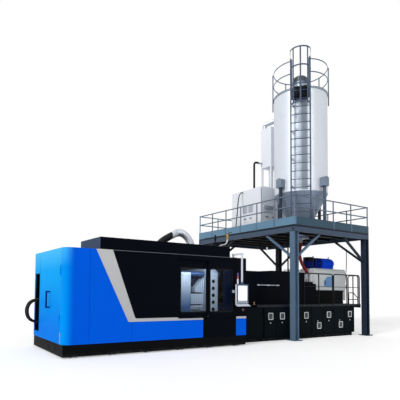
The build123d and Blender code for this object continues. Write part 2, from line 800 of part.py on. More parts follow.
def end_door():
    """Blue end door with its hinge barrels and bar handle."""
    wall = PANEL_WALL
    z0 = SKIRT_HEIGHT + END_DOOR_FLOOR_GAP
    leaf = block(0, wall, DOOR_START_Y, DOOR_END_Y, z0, GUARD_TOP)
    pins = []
    for z in end_hinge_levels():
        pins.append(rod_z(-END_DOOR_HINGE_RADIUS, DOOR_START_Y + END_DOOR_HINGE_RADIUS,
                          z, z + END_DOOR_HINGE_HEIGHT, END_DOOR_HINGE_RADIUS))
    grip_y = DOOR_END_Y - END_HANDLE_SETBACK
    half_bar = END_HANDLE_BAR * HALF
    grip_top = END_HANDLE_BOTTOM + END_HANDLE_HEIGHT
    reach = END_HANDLE_REACH
    grip = block(-reach, -reach + END_HANDLE_BAR, grip_y - half_bar, grip_y + half_bar,
                 END_HANDLE_BOTTOM, grip_top)
    stems = []
    for z in (END_HANDLE_BOTTOM, grip_top - END_HANDLE_BAR):
        stems.append(block(-reach + END_HANDLE_BAR, 0, grip_y - half_bar, grip_y + half_bar,
                           z, z + END_HANDLE_BAR))
    return group(leaf, *pins, grip, *stems)


# Operator gate

def gate_tracks():
    """Upper and lower tracks of both gate leaves."""
    front = -GATE_WALL - GATE_LAP
    behind = PANEL_WALL
    behind_end = PANEL_WALL + GATE_WALL + GATE_LAP
    z_low = GATE_SILL - GATE_TRACK
    z_high = GATE_HEAD + GATE_TRACK
    inner_start = GATE_START - INNER_TRACK_REACH
    inner_end = GATE_START + INNER_GATE_WIDTH
    return group(
        block(GATE_START + PANEL_GAP, GATE_END, front, 0, GATE_HEAD, z_high),
        block(GATE_START, BAND_END, front, -STRIP_WALL, z_low, GATE_SILL),
        block(BAND_END, GATE_END, front, 0, z_low, GATE_SILL),
        block(inner_start, inner_end, behind, behind_end, GATE_HEAD, z_high),
        block(inner_start, inner_end, behind, behind_end, z_low, GATE_SILL),
    )


def gate_window(x0, x1):
    """Rounded window outline in X and Z."""
    height = WINDOW_TOP - WINDOW_BOTTOM
    centre = Pos((x0 + x1) * HALF, (WINDOW_TOP + WINDOW_BOTTOM) * HALF)
    return centre * RectangleRounded(x1 - x0, height, WINDOW_CORNER)


def gate_leaf(x0, x1, y0, window):
    """One gate leaf with its window cut out."""
    leaf = block(x0, x1, y0, y0 + GATE_WALL, GATE_SILL + GATE_FIT, GATE_HEAD - GATE_FIT)
    cut = extrude(Plane.XZ.offset(-y0) * window, amount=GATE_WALL, dir=(0, 1, 0))
    return leaf - cut


def gate_glass(y0, window):
    """Pane that fills the window at the middle of the leaf."""
    inset = (GATE_WALL - GLASS_WALL) * HALF
    return extrude(Plane.XZ.offset(-y0 - inset) * window, amount=GLASS_WALL, dir=(0, 1, 0))


def gate_knob():
    """Round knob on the outer gate leaf."""
    x = GATE_END - KNOB_SETBACK
    stem = rod_y(x, OUTER_GATE_Y - KNOB_STEM, OUTER_GATE_Y, KNOB_HEIGHT, KNOB_STEM_RADIUS)
    cap = rod_y(x, OUTER_GATE_Y - KNOB_REACH, OUTER_GATE_Y - KNOB_STEM, KNOB_HEIGHT, KNOB_RADIUS)
    return stem + cap


# Clamp unit

def platen(x0, x1):
    """Platen with cut corners."""
    z0 = CLAMP_AXIS_Z - PLATEN_HEIGHT * HALF
    y0 = AXIS_Y - PLATEN_WIDTH * HALF
    plate = block(x0, x1, y0, y0 + PLATEN_WIDTH, z0, z0 + PLATEN_HEIGHT)
    return chamfer(plate.edges().filter_by(Axis.X), PLATEN_CHAMFER)


def tie_places():
    """The four tie bar places in Y and Z."""
    return [(AXIS_Y + j * TIE_BAR_SPREAD_Y, CLAMP_AXIS_Z + k * TIE_BAR_SPREAD_Z)
            for j in (-1, 1) for k in (-1, 1)]


def fixed_platens():
    """Stationary platen, rear platen with the clamp cylinder, and the feet that carry them."""
    x1 = STATIONARY_START + STATIONARY_PLATEN
    stationary = platen(STATIONARY_START, x1)
    rear = platen(REAR_PLATEN_START, REAR_FACE)
    stationary -= rod_x(STATIONARY_START, x1, AXIS_Y, CLAMP_AXIS_Z, NOZZLE_RADIUS * 2)
    for y, z in tie_places():
        stationary -= rod_x(STATIONARY_START, x1, y, z, TIE_BAR_RADIUS)
        rear -= rod_x(REAR_PLATEN_START, REAR_FACE, y, z, TIE_BAR_RADIUS)
    cylinder = rod_x(REAR_FACE, REAR_FACE + CYLINDER_LENGTH, AXIS_Y, CLAMP_AXIS_Z, CYLINDER_RADIUS)
    cylinder -= rod_x(REAR_FACE, REAR_FACE + CYLINDER_LENGTH, AXIS_Y, CLAMP_AXIS_Z, RAM_RADIUS + RAM_FIT)
    foot_top = CLAMP_AXIS_Z - PLATEN_HEIGHT * HALF
    feet = []
    for x0, x_end in ((STATIONARY_START, x1), (REAR_PLATEN_START, REAR_FACE)):
        feet.append(block(x0, x_end, BED_LIP + BED_BEAM * HALF, GUARD_DEPTH - BED_LIP - BED_BEAM * HALF,
                          SKIRT_HEIGHT, SKIRT_HEIGHT + PLATEN_FOOT))
        feet.append(block(x0, x_end, AXIS_Y - PLATEN_WIDTH * HALF + PLATEN_CHAMFER,
                          AXIS_Y + PLATEN_WIDTH * HALF - PLATEN_CHAMFER,
                          SKIRT_HEIGHT + PLATEN_FOOT, foot_top))
    return group(stationary, rear, cylinder, *feet)


def tie_bars():
    """Four tie bars with their end nuts."""
    x0 = REAR_PLATEN_START
    x1 = STATIONARY_START + STATIONARY_PLATEN
    bars = []
    for y, z in tie_places():
        shaft = rod_x(x0 - TIE_NUT_LENGTH, x1 + TIE_NUT_LENGTH, y, z, TIE_BAR_RADIUS)
        shaft += rod_x(x0 - TIE_NUT_LENGTH, x0, y, z, TIE_NUT_RADIUS)
        shaft += rod_x(x1, x1 + TIE_NUT_LENGTH, y, z, TIE_NUT_RADIUS)
        bars.append(shaft)
    return group(*bars)


def moving_platen():
    """Moving platen on the tie bars, with the clamp ram behind it."""
    plate = platen(MOVING_START, MOVING_FACE)
    for y, z in tie_places():
        plate -= rod_x(MOVING_START, MOVING_FACE, y, z, TIE_BAR_RADIUS + TIE_BAR_FIT)
    ram_start = REAR_FACE + CLAMP_STROKE + RAM_RADIUS * HALF
    ram = rod_x(ram_start, MOVING_START, AXIS_Y, CLAMP_AXIS_Z, RAM_RADIUS)
    return group(plate, ram)


def mould_block(x0, x1, width, height):
    """A mould plate about the clamp axis."""
    return block(x0, x1, AXIS_Y - width * HALF, AXIS_Y + width * HALF,
                 CLAMP_AXIS_Z - height * HALF, CLAMP_AXIS_Z + height * HALF)


def mould_core_half():
    """Core half: back plate, stepped core plate and the rows of cores."""
    x_step = MOVING_FACE + CORE_BACKPLATE
    back = mould_block(MOVING_FACE, x_step, MOULD_WIDTH, MOULD_HEIGHT)
    step = CORE_PLATE_SETBACK * 2
    plate = mould_block(x_step, CORE_FACE, MOULD_WIDTH - step, MOULD_HEIGHT - step)
    cores = []
    for y in spaced(-HALF, HALF, CORE_COLUMNS):
        for z in spaced(-HALF, HALF, CORE_ROWS):
            cores.append(rod_x(CORE_FACE, CORE_FACE + CORE_LENGTH,
                               AXIS_Y + y * CORE_PITCH_Y * (CORE_COLUMNS - 1),
                               CLAMP_AXIS_Z + z * CORE_PITCH_Z * (CORE_ROWS - 1), CORE_RADIUS))
    return group(back, plate, *cores)


def mould_cavity_half():
    """Cavity half: cavity plate, manifold plate, and the plate with a column of ports on the platen."""
    x_step = CAVITY_START + CAVITY_PLATE
    plate = mould_block(CAVITY_START, x_step, MOULD_WIDTH, MOULD_HEIGHT)
    manifold = mould_block(x_step, STATIONARY_START, MOULD_WIDTH, MOULD_HEIGHT)
    x0 = STATIONARY_START + PORT_PLATE_START
    x1 = x0 + PORT_PLATE_WIDTH
    y1 = AXIS_Y - PLATEN_WIDTH * HALF
    y0 = y1 - PORT_PLATE_WALL
    reach = PORT_PITCH * (PORT_COUNT - 1) * HALF
    low = CLAMP_AXIS_Z - reach - PORT_PLATE_MARGIN
    high = CLAMP_AXIS_Z + reach + PORT_PLATE_MARGIN
    ports = block(x0, x1, y0, y1, low, high)
    for z in spaced(CLAMP_AXIS_Z - reach, CLAMP_AXIS_Z + reach, PORT_COUNT):
        ports -= rod_y((x0 + x1) * HALF, y0, y1, z, PORT_RADIUS)
    return group(plate, manifold, ports)


# Operator panel

def hmi_arm():
    """White pole with the bent arm that carries the operator panel from the roof."""
    x = PANEL_SWIVEL_X
    y = PANEL_SWIVEL_Y
    top = POLE_TOP
    socket = HMI_BOTTOM + HMI_HEIGHT + POLE_FIT
    pole = rod_z(x, y, socket, top, POLE_RADIUS)
    elbow = block(x - POLE_RADIUS, x + POLE_RADIUS, y - POLE_RADIUS, y + POLE_RADIUS, top, top + ARM_RISE)
    foot_y = ARM_BACK
    arm = block(x - POLE_RADIUS, x + POLE_RADIUS, y + POLE_RADIUS, foot_y + POLE_RADIUS, top, top + ARM_RISE)
    column = rod_z(x, foot_y, GUARD_TOP + ARM_FOOT_WALL, top, POLE_RADIUS)
    foot = block(x - ARM_FOOT * HALF, x + ARM_FOOT * HALF, foot_y - ARM_FOOT * HALF,
                 foot_y + ARM_FOOT * HALF, GUARD_TOP, GUARD_TOP + ARM_FOOT_WALL)
    return group(pole, elbow, arm, column, foot)


def hmi_panel():
    """Operator panel: housing with a sunk screen, keypad shelf and the swivel pin in the pole."""
    x = PANEL_SWIVEL_X
    y = PANEL_SWIVEL_Y
    x0 = x - HMI_WIDTH * HALF
    x1 = x + HMI_WIDTH * HALF
    y0 = y - HMI_WALL * HALF
    y1 = y + HMI_WALL * HALF
    top = HMI_BOTTOM + HMI_HEIGHT
    housing = block(x0, x1, y0, y1, HMI_BOTTOM, top)
    housing = fillet(housing.edges().filter_by(Axis.Y), HMI_EDGE_RADIUS)
    housing -= block(x0 + HMI_BEZEL, x1 - HMI_BEZEL, y0, y0 + HMI_SCREEN_DEPTH,
                     HMI_BOTTOM + HMI_BEZEL, top - HMI_BEZEL)
    shelf_points = [
        (y1, HMI_BOTTOM),
        (y0 - HMI_SHELF_DEPTH, HMI_BOTTOM - HMI_SHELF_HEIGHT),
        (y0, HMI_BOTTOM - HMI_SHELF_HEIGHT),
        (y1, HMI_BOTTOM - HMI_SHELF_HEIGHT * HALF),
    ]
    face = make_face(Polyline(*shelf_points, close=True))
    shelf = extrude(Plane.YZ.offset(x0) * face, amount=HMI_WIDTH)
    socket = rod_z(x, y, top, top + SOCKET_LENGTH, SOCKET_RADIUS)
    socket -= rod_z(x, y, top, top + SOCKET_LENGTH, POLE_RADIUS + POLE_FIT)
    return group(housing, shelf, socket)


def estop_parts():
    """Mushroom push button on the control column: the collar and the head with its stem."""
    x = GUARD_LENGTH - ESTOP_SETBACK
    collar = rod_y(x, -ESTOP_COLLAR, 0, ESTOP_HEIGHT, ESTOP_COLLAR_RADIUS)
    collar -= rod_y(x, -ESTOP_COLLAR, 0, ESTOP_HEIGHT, ESTOP_STEM_RADIUS + ESTOP_FIT)
    stem_end = -ESTOP_COLLAR - ESTOP_TRAVEL - ESTOP_FIT
    head = rod_y(x, stem_end - ESTOP_HEAD, stem_end, ESTOP_HEIGHT, ESTOP_RADIUS)
    head += rod_y(x, stem_end, -ESTOP_TRAVEL - ESTOP_FIT, ESTOP_HEIGHT, ESTOP_STEM_RADIUS)
    return collar, head


# Control cabinets and walkway

def door_spans():
    """Left and right edge of each of the seven cabinet doors."""
    spans = []
    for i in range(NEAR_DOORS):
        spans.append((CABINET_X + i * NEAR_DOOR_PITCH, CABINET_X + (i + 1) * NEAR_DOOR_PITCH))
    for i in range(FAR_DOORS):
        spans.append((FAR_X + i * FAR_DOOR_PITCH, FAR_X + (i + 1) * FAR_DOOR_PITCH))
    return [(x0 + DOOR_GAP * HALF, x1 - DOOR_GAP * HALF) for x0, x1 in spans]


DOOR_LOW_BREATHER = (3, 5)
HINGE_Y = CABINET_FRONT - DOOR_KNUCKLE_RADIUS
DOOR_BOTTOM = CABINET_BOTTOM + DOOR_MARGIN
DOOR_TOP = CABINET_TOP - DOOR_MARGIN


def cabinet_carcass():
    """Cabinet row: back, floor, partitions, blank front, plinth and the fixed hinge pins."""
    x0 = GUARD_LENGTH
    x1 = CABINET_END
    wall = CABINET_WALL
    plates = [
        block(x0, x1, CABINET_BACK - wall, CABINET_BACK, CABINET_BOTTOM, CABINET_TOP),
        block(x0, x1, CABINET_FACE, CABINET_BACK - wall, CABINET_BOTTOM, CABINET_BOTTOM + wall),
        block(x0, CABINET_X - wall * HALF, CABINET_FACE, CABINET_FACE + wall,
              CABINET_BOTTOM + wall, CABINET_TOP),
        block(BLANK_X + wall * HALF, FAR_X - wall * HALF, CABINET_FACE, CABINET_FACE + wall,
              CABINET_BOTTOM + wall, CABINET_TOP),
        block(x0, x1 - PLINTH_SETBACK, CABINET_FACE + PLINTH_SETBACK, CABINET_BACK - PLINTH_SETBACK,
              0, CABINET_BOTTOM),
    ]
    walls_at = [CABINET_X + i * NEAR_DOOR_PITCH for i in range(NEAR_DOORS + 1)]
    walls_at += [FAR_X + i * FAR_DOOR_PITCH for i in range(FAR_DOORS)]
    for x in walls_at:
        plates.append(block(x - wall * HALF, x + wall * HALF, CABINET_FACE, CABINET_BACK - wall,
                            CABINET_BOTTOM + wall, CABINET_TOP))
    plates.append(block(x1 - wall, x1, CABINET_FACE, CABINET_BACK - wall,
                        CABINET_BOTTOM + wall, CABINET_TOP))
    return group(*plates)


def hinge_pins():
    """Fixed lower half of each lift-off hinge: a pin on a leaf that is screwed to the cabinet edge."""
    pins = []
    half_wall = CABINET_WALL * HALF
    for x0, x1 in door_spans():
        hinge_x = x0 - DOOR_GAP * HALF
        for z in (DOOR_BOTTOM + DOOR_KNUCKLE_INSET, DOOR_TOP - DOOR_KNUCKLE_INSET - DOOR_KNUCKLE_LENGTH):
            low = z - DOOR_KNUCKLE_LENGTH - HINGE_FIT
            pin = rod_z(hinge_x, HINGE_Y, low, z - HINGE_FIT, DOOR_KNUCKLE_RADIUS)
            leaf = block(hinge_x - half_wall, hinge_x + half_wall, HINGE_Y, CABINET_FACE, low, z - HINGE_FIT)
            pins.append(pin + leaf)
    return group(*pins)


def cabinet_door(index):
    """One cabinet door with its breather, round latch and hinge barrels."""
    x0, x1 = door_spans()[index]
    hinge_x = x0 - DOOR_GAP * HALF
    y0 = CABINET_FRONT
    leaf = block(x0, x1, y0, y0 + DOOR_WALL, DOOR_BOTTOM, DOOR_TOP)
    barrels = []
    for z in (DOOR_BOTTOM + DOOR_KNUCKLE_INSET, DOOR_TOP - DOOR_KNUCKLE_INSET - DOOR_KNUCKLE_LENGTH):
        barrel = rod_z(hinge_x, HINGE_Y, z, z + DOOR_KNUCKLE_LENGTH, DOOR_KNUCKLE_RADIUS)
        tab = block(hinge_x, x0 + DOOR_GAP, HINGE_Y - DOOR_KNUCKLE_RADIUS * HALF, y0,
                    z, z + DOOR_KNUCKLE_LENGTH)
        barrels.append(barrel + tab)
    middle = (x0 + x1) * HALF
    low = index in DOOR_LOW_BREATHER
    z = BREATHER_LOW if low else BREATHER_HIGH
    x = middle + BREATHER_LOW_SHIFT if low else middle
    breather = block(x - BREATHER_WIDTH * HALF, x + BREATHER_WIDTH * HALF, y0 - BREATHER_WALL, y0,
                     z - BREATHER_HEIGHT * HALF, z + BREATHER_HEIGHT * HALF)
    latch = rod_y(middle, y0 - LATCH_REACH, y0, LATCH_HEIGHT, LATCH_RADIUS)
    return group(leaf, *barrels, breather, latch)


def control_gear():
    """Mounting plates with rows of drives and terminals in the cabinets."""
    pieces = []
    back = CABINET_BACK - CABINET_WALL
    for x0, x1 in door_spans():
        left = x0 + DOOR_GAP
        right = x1 - DOOR_GAP
        low = DOOR_BOTTOM + DOOR_GAP
        high = DOOR_TOP - DOOR_GAP
        face = back - GEAR_PLATE
        pieces.append(block(left, right, face, back, low, high))
        height = (high - low) / (GEAR_ROWS + 1)
        for row in range(GEAR_ROWS):
            z = low + height * (row + HALF)
            width = (right - left) / (row + 2)
            for column in range(row + 1):
                x = left + width * (column + HALF)
                pieces.append(block(x, x + width - DOOR_GAP, face - GEAR_DEPTH, face,
                                    z, z + height - DOOR_GAP))
    return group(*pieces)


def walkway_deck():
    """Deck plate over the cabinets, with a folded edge."""
    x0 = GUARD_LENGTH + WALKWAY_START
    edge = CABINET_WALL
    return group(
        block(x0, WALK_END, CABINET_FRONT, CABINET_BACK, CABINET_TOP, WALK_TOP),
        block(WALK_END - edge, WALK_END, CABINET_FRONT, CABINET_BACK, CABINET_TOP - DECK_EDGE, CABINET_TOP),
    )


def tube(start, end, radius):
    """A round bar from one point to another."""
    a = Vector(*start)
    run = Vector(*end) - a
    bottom = (Align.CENTER, Align.CENTER, Align.MIN)
    return Plane(origin=a, z_dir=run) * Cylinder(radius, run.length, align=bottom)


def handrail_panel(start, end):
    """One handrail panel of round tube with bent upper corners, between two floor points."""
    a = Vector(*start)
    b = Vector(*end)
    along = (b - a).normalized()
    up = Vector(0, 0, 1)
    r = HANDRAIL_TUBE
    bend = HANDRAIL_BEND
    rise = HANDRAIL_TOP - r - WALK_TOP
    middle = (a + b) * HALF
    pieces = []
    for foot, inward in ((a, along), (b, -along)):
        knee = foot + up * (rise - bend)
        pieces.append(tube(foot, knee, r))
        centre = knee + inward * bend
        elbow = centre + (up - inward) * (bend * sqrt(HALF))
        path = ThreePointArc(knee, elbow, centre + up * bend)
        pieces.append(sweep(Plane(origin=knee, z_dir=up) * Circle(r), path=path))
        mid = up * (HANDRAIL_MID - WALK_TOP)
        pieces.append(tube(foot + inward * r + mid, middle - inward * r + mid, r * HALF))
    pieces.append(tube(a + up * rise + along * bend, b + up * rise - along * bend, r))
    pieces.append(rod_z(middle.X, middle.Y, WALK_TOP, HANDRAIL_TOP - r * 2, r))
    return pieces


def walkway_rails():
    """Two handrail panels along the walkway, one across its end, and the low hoop beside the end post."""
    y = CABINET_FRONT + HANDRAIL_INSET
    right = WALK_END - HANDRAIL_INSET
    left = right - HANDRAIL_WIDTH
    pieces = handrail_panel((left, y, WALK_TOP), (right, y, WALK_TOP))
    end = left - HANDRAIL_GAP
    pieces += handrail_panel((end - HANDRAIL_WIDTH, y, WALK_TOP), (end, y, WALK_TOP))
    side_start = y + HANDRAIL_GAP
    side_end = CABINET_BACK - HANDRAIL_INSET
    pieces += handrail_panel((right, side_start, WALK_TOP), (right, side_end, WALK_TOP))
    return group(*pieces, low_hoop(right - HOOP_SETBACK, y))


def low_hoop(x1, y):
    """Low hoop of bent tube on the walkway, with one slanted shoulder and a lower bar."""
    x0 = x1 - HOOP_LENGTH
    r = HOOP_TUBE
    bar_z = WALK_TOP + HOOP_BAR
    top = WALK_TOP + HOOP_TOP
    feet = (x0, y, WALK_TOP), (x1, y, WALK_TOP)
    bends = (x0, y, top), (x0 + HOOP_SHOULDER, y, top), (x1, y, bar_z + HOOP_BEND)
    path = FilletPolyline(feet[0], *bends, feet[1], radius=HOOP_BEND)
    frame = sweep(Plane(origin=path @ 0, z_dir=path % 0) * Circle(r), path=path)
    return group(frame, tube((x0 + r, y, bar_z), (x1 - r, y, bar_z), r))


# Injection unit

def injection_unit():
    """Carriage with the shooting pot and nozzle, and the plasticising barrel with its feed throat."""
    x0 = CARRIAGE_X
    half = CARRIAGE_WIDTH * HALF
    slab = block(x0, CARRIAGE_END, AXIS_Y - half, AXIS_Y + half, RAIL_TOP, CARRIAGE_TOP)
    pot_x = x0 + POT_START
    pot = rod_x(pot_x, POT_END, AXIS_Y, CLAMP_AXIS_Z, POT_RADIUS)
    pot += rod_x(STATIONARY_START + NOZZLE_TIP, pot_x, AXIS_Y, CLAMP_AXIS_Z, NOZZLE_RADIUS)
    pot += rod_x(STATIONARY_START, STATIONARY_START + NOZZLE_TIP, AXIS_Y, CLAMP_AXIS_Z, NOZZLE_TIP_RADIUS)
    blocks = []
    for x in (pot_x, POT_END - POT_BLOCK):
        support = block(x, x + POT_BLOCK, AXIS_Y - half, AXIS_Y + half,
                        CARRIAGE_TOP, EXTRUDER_Z - BARREL_SADDLE)
        support -= rod_x(x, x + POT_BLOCK, AXIS_Y, CLAMP_AXIS_Z, POT_RADIUS)
        saddle = block(x, x + POT_BLOCK, AXIS_Y - BAND_RADIUS, AXIS_Y + BAND_RADIUS,
                       EXTRUDER_Z - BARREL_SADDLE, EXTRUDER_Z)
        saddle -= rod_x(x, x + POT_BLOCK, AXIS_Y, EXTRUDER_Z, BAND_RADIUS)
        blocks += [support, *saddle.solids()]
    throat_x0 = THROAT_X - THROAT_LENGTH * HALF
    throat_x1 = THROAT_X + THROAT_LENGTH * HALF
    barrel_x = throat_x0 - BARREL_LENGTH
    barrel = rod_x(barrel_x, throat_x0, AXIS_Y, EXTRUDER_Z, BARREL_RADIUS)
    for x in spaced(barrel_x, throat_x0 - BAND_LENGTH, BAND_COUNT):
        barrel += rod_x(x, x + BAND_LENGTH, AXIS_Y, EXTRUDER_Z, BAND_RADIUS)
    half_throat = THROAT_HEIGHT * HALF
    barrel -= rod_x(barrel_x + BARREL_RADIUS, throat_x0, AXIS_Y, EXTRUDER_Z, BARREL_BORE)
    throat = block(throat_x0, throat_x1, AXIS_Y - half_throat, AXIS_Y + half_throat,
                   EXTRUDER_Z - half_throat, EXTRUDER_Z + half_throat)
    throat -= rod_x(throat_x0, throat_x1, AXIS_Y, EXTRUDER_Z, BARREL_BORE)
    foot = block(POT_END + THROAT_FOOT_GAP, throat_x1, AXIS_Y - half_throat, AXIS_Y + half_throat,
                 CARRIAGE_TOP, EXTRUDER_Z - half_throat)
    inlet_bottom = EXTRUDER_Z + half_throat
    inlet = rod_z(THROAT_X, AXIS_Y, inlet_bottom, inlet_bottom + INLET_HEIGHT, INLET_RADIUS)
    return group(slab, pot, *blocks, barrel, throat, foot, inlet)


def extruder_screw():
    """Plasticising screw inside the barrel."""
    throat_x1 = THROAT_X + THROAT_LENGTH * HALF
    start = THROAT_X - THROAT_LENGTH * HALF - BARREL_LENGTH + BARREL_RADIUS + SCREW_TAIL
    return rod_x(start, throat_x1 - SCREW_FIT, AXIS_Y, EXTRUDER_Z, BARREL_BORE - SCREW_FIT)


def drive_housing():
    """White drive housing with its leg, terminal box and the low belt guard beside it."""
    y0 = HOUSING_Y
    y1 = HOUSING_Y + HOUSING_DEPTH
    body = block(HOUSING_X, HOUSING_END, y0, y1, HOUSING_BOTTOM, HOUSING_TOP)
    body = chamfer(body.edges().filter_by(Axis.X).group_by(Axis.Z)[-1], HOUSING_CHAMFER)
    leg = block(HOUSING_END - HOUSING_LEG, HOUSING_END, y0, y1, CARRIAGE_TOP, HOUSING_BOTTOM)
    belt_guard = block(HOUSING_X - BELT_GUARD_LENGTH, HOUSING_X, y1 - BELT_GUARD_DEPTH, y1,
                       HOUSING_TOP - HOUSING_CHAMFER - BELT_GUARD_HEIGHT, HOUSING_TOP - HOUSING_CHAMFER)
    terminal_z = HOUSING_BOTTOM + TERMINAL_BOTTOM
    terminal = block(HOUSING_END, HOUSING_END + TERMINAL_WIDTH, y0, y0 + TERMINAL_WIDTH,
                     terminal_z, terminal_z + TERMINAL_HEIGHT)
    return group(body, leg, belt_guard, terminal)


def service_panel():
    """Light blue service panel with one cut corner on the front of the drive housing."""
    x0 = HOUSING_X + SERVICE_PANEL_SETBACK
    z0 = HOUSING_BOTTOM + SERVICE_PANEL_BOTTOM
    points = [
        (x0, z0),
        (x0 + SERVICE_PANEL_WIDTH, z0),
        (x0 + SERVICE_PANEL_WIDTH, z0 + SERVICE_PANEL_HEIGHT),
        (x0 + SERVICE_PANEL_CUT, z0 + SERVICE_PANEL_HEIGHT),
        (x0, z0 + SERVICE_PANEL_HEIGHT - SERVICE_PANEL_CUT),
    ]
    return front_plate(points, HOUSING_Y - SERVICE_PANEL_WALL, HOUSING_Y)


def drive_base():
    """Black base between the carriage and the drive housing."""
    y0 = HOUSING_Y + HOUSING_LEG
    y1 = HOUSING_Y + HOUSING_DEPTH - HOUSING_LEG
    return block(HOUSING_X, HOUSING_END - HOUSING_LEG, y0, y1, CARRIAGE_TOP, HOUSING_BOTTOM)


def drive_motors():
    """Blue main motor with feet and lifting eyes, and the upright blue drum beside it."""
    x0 = HOUSING_X + MOTOR_START
    x1 = x0 + MOTOR_LENGTH
    y = HOUSING_Y + HOUSING_DEPTH * HALF
    z = HOUSING_TOP + MOTOR_FOOT + MOTOR_RADIUS
    half = MOTOR_FOOT_WIDTH * HALF
    body = rod_x(x0, x1, y, z, MOTOR_RADIUS)
    foot = block(x0, x1, y - half, y + half, HOUSING_TOP, z - MOTOR_RADIUS * HALF) - body
    eyes = []
    for x in (x0 + MOTOR_RADIUS * HALF, x1 - MOTOR_RADIUS * HALF):
        eye_z = z + MOTOR_RADIUS + EYE_RADIUS + EYE_WIRE
        eyes.append(Pos(x, y, eye_z) * Rot(QUARTER_TURN, 0, 0) * Torus(EYE_RADIUS, EYE_WIRE))
    return group(body, foot, *eyes)


def motor_drum():
    """Upright blue drum at the left end of the motor."""
    y = HOUSING_Y + HOUSING_DEPTH * HALF
    x = HOUSING_X + DRUM_RADIUS * HALF
    return rod_z(x, y, HOUSING_TOP, HOUSING_TOP + DRUM_HEIGHT, DRUM_RADIUS)


def motor_cowl():
    """Black cowl on top of the drum."""
    y = HOUSING_Y + HOUSING_DEPTH * HALF
    x = HOUSING_X + DRUM_RADIUS * HALF
    z = HOUSING_TOP + DRUM_HEIGHT
    return rod_z(x, y, z, z + DRUM_CAP, DRUM_CAP_RADIUS)


def barrel_covers():
    """Four black covers over the barrel, each open below on the rails, and two side plates at the throat."""
    x = GUARD_LENGTH
    y0 = AXIS_Y - COVER_FRONT
    y1 = AXIS_Y + COVER_FRONT
    wall = COVER_WALL
    pieces = []
    sections = (
        (COVER_FIRST, 0),
        (COVER_SECOND, 0),
        (COVER_THIRD, COVER_STEP),
        (COVER_FOURTH, COVER_FOURTH_STEP),
    )
    for length, rise in sections:
        x1 = x + length - PANEL_GAP
        top = COVER_TOP + rise
        pieces.append(block(x, x1, y0, y1, top - wall, top))
        pieces.append(block(x, x1, y0, y0 + wall, RAIL_TOP, top - wall))
        pieces.append(block(x, x1, y1 - wall, y1, RAIL_TOP, top - wall))
        x += length
    x1 = x + COVER_LAST
    pieces.append(block(x, x1, y0, y0 + wall, RAIL_TOP, COVER_LOW_TOP))
    pieces.append(block(x, x1, y1 - wall, y1, RAIL_TOP, COVER_TOP + COVER_FOURTH_STEP))
    return group(*pieces)


# Platform

def post_places():
    """Centres of the four platform posts."""
    inset = POST_SIZE * HALF
    left = PLATFORM_X + inset
    right = PLATFORM_END - inset
    front = PLATFORM_FRONT + inset
    back = PLATFORM_BACK - POST_BACK_SETBACK - inset
    return [(x, y) for x in (left, right) for y in (front, back)]


def platform_posts():
    """Four H-section posts on drilled base plates."""
    pieces = []
    half = POST_SIZE * HALF
    for x, y in post_places():
        plate = block(x - BASE_PLATE * HALF, x + BASE_PLATE * HALF, y - BASE_PLATE * HALF,
                      y + BASE_PLATE * HALF, 0, BASE_PLATE_WALL)
        for i in (-1, 1):
            for j in (-1, 1):
                plate -= rod_z(x + i * BASE_HOLE_PITCH * HALF, y + j * BASE_HOLE_PITCH * HALF,
                               0, BASE_PLATE_WALL, BASE_HOLE_RADIUS)
        pieces.append(plate)
        for side in (-1, 1):
            near = x + side * half
            far = x + side * (half - POST_FLANGE)
            pieces.append(block(min(near, far), max(near, far), y - half, y + half,
                                BASE_PLATE_WALL, BEAM_BOTTOM))
        pieces.append(block(x - half + POST_FLANGE, x + half - POST_FLANGE, y - POST_WEB * HALF,
                            y + POST_WEB * HALF, BASE_PLATE_WALL, BEAM_BOTTOM))
    return group(*pieces)


def edge_beam(x0, x1, y0, y1, inward):
    """A channel between two points on the outline, open to the inside; inward is the flange side."""
    ix, iy = inward
    web = BEAM_WALL
    z0 = BEAM_BOTTOM
    z1 = BEAM_TOP
    plates = []
    if iy:
        out = y0 if iy > 0 else y1
        a = sorted((out, out + iy * web))
        b = sorted((out + iy * web, out + iy * BEAM_FLANGE))
        plates.append(block(x0, x1, a[0], a[1], z0, z1))
        plates.append(block(x0, x1, b[0], b[1], z0, z0 + web))
        plates.append(block(x0, x1, b[0], b[1], z1 - web, z1))
    else:
        out = x0 if ix > 0 else x1
        a = sorted((out, out + ix * web))
        b = sorted((out + ix * web, out + ix * BEAM_FLANGE))
        plates.append(block(a[0], a[1], y0, y1, z0, z1))
        plates.append(block(b[0], b[1], y0, y1, z0, z0 + web))
        plates.append(block(b[0], b[1], y0, y1, z1 - web, z1))
    return plates


def joist_places():
    """Y places of the joists: one in front of the hopper, the rest behind it."""
    gap = DECK_HOLE * HALF + JOIST_WIDTH
    return [TOWER_Y - gap] + [TOWER_Y + gap + i * JOIST_PITCH for i in range(JOIST_COUNT)]


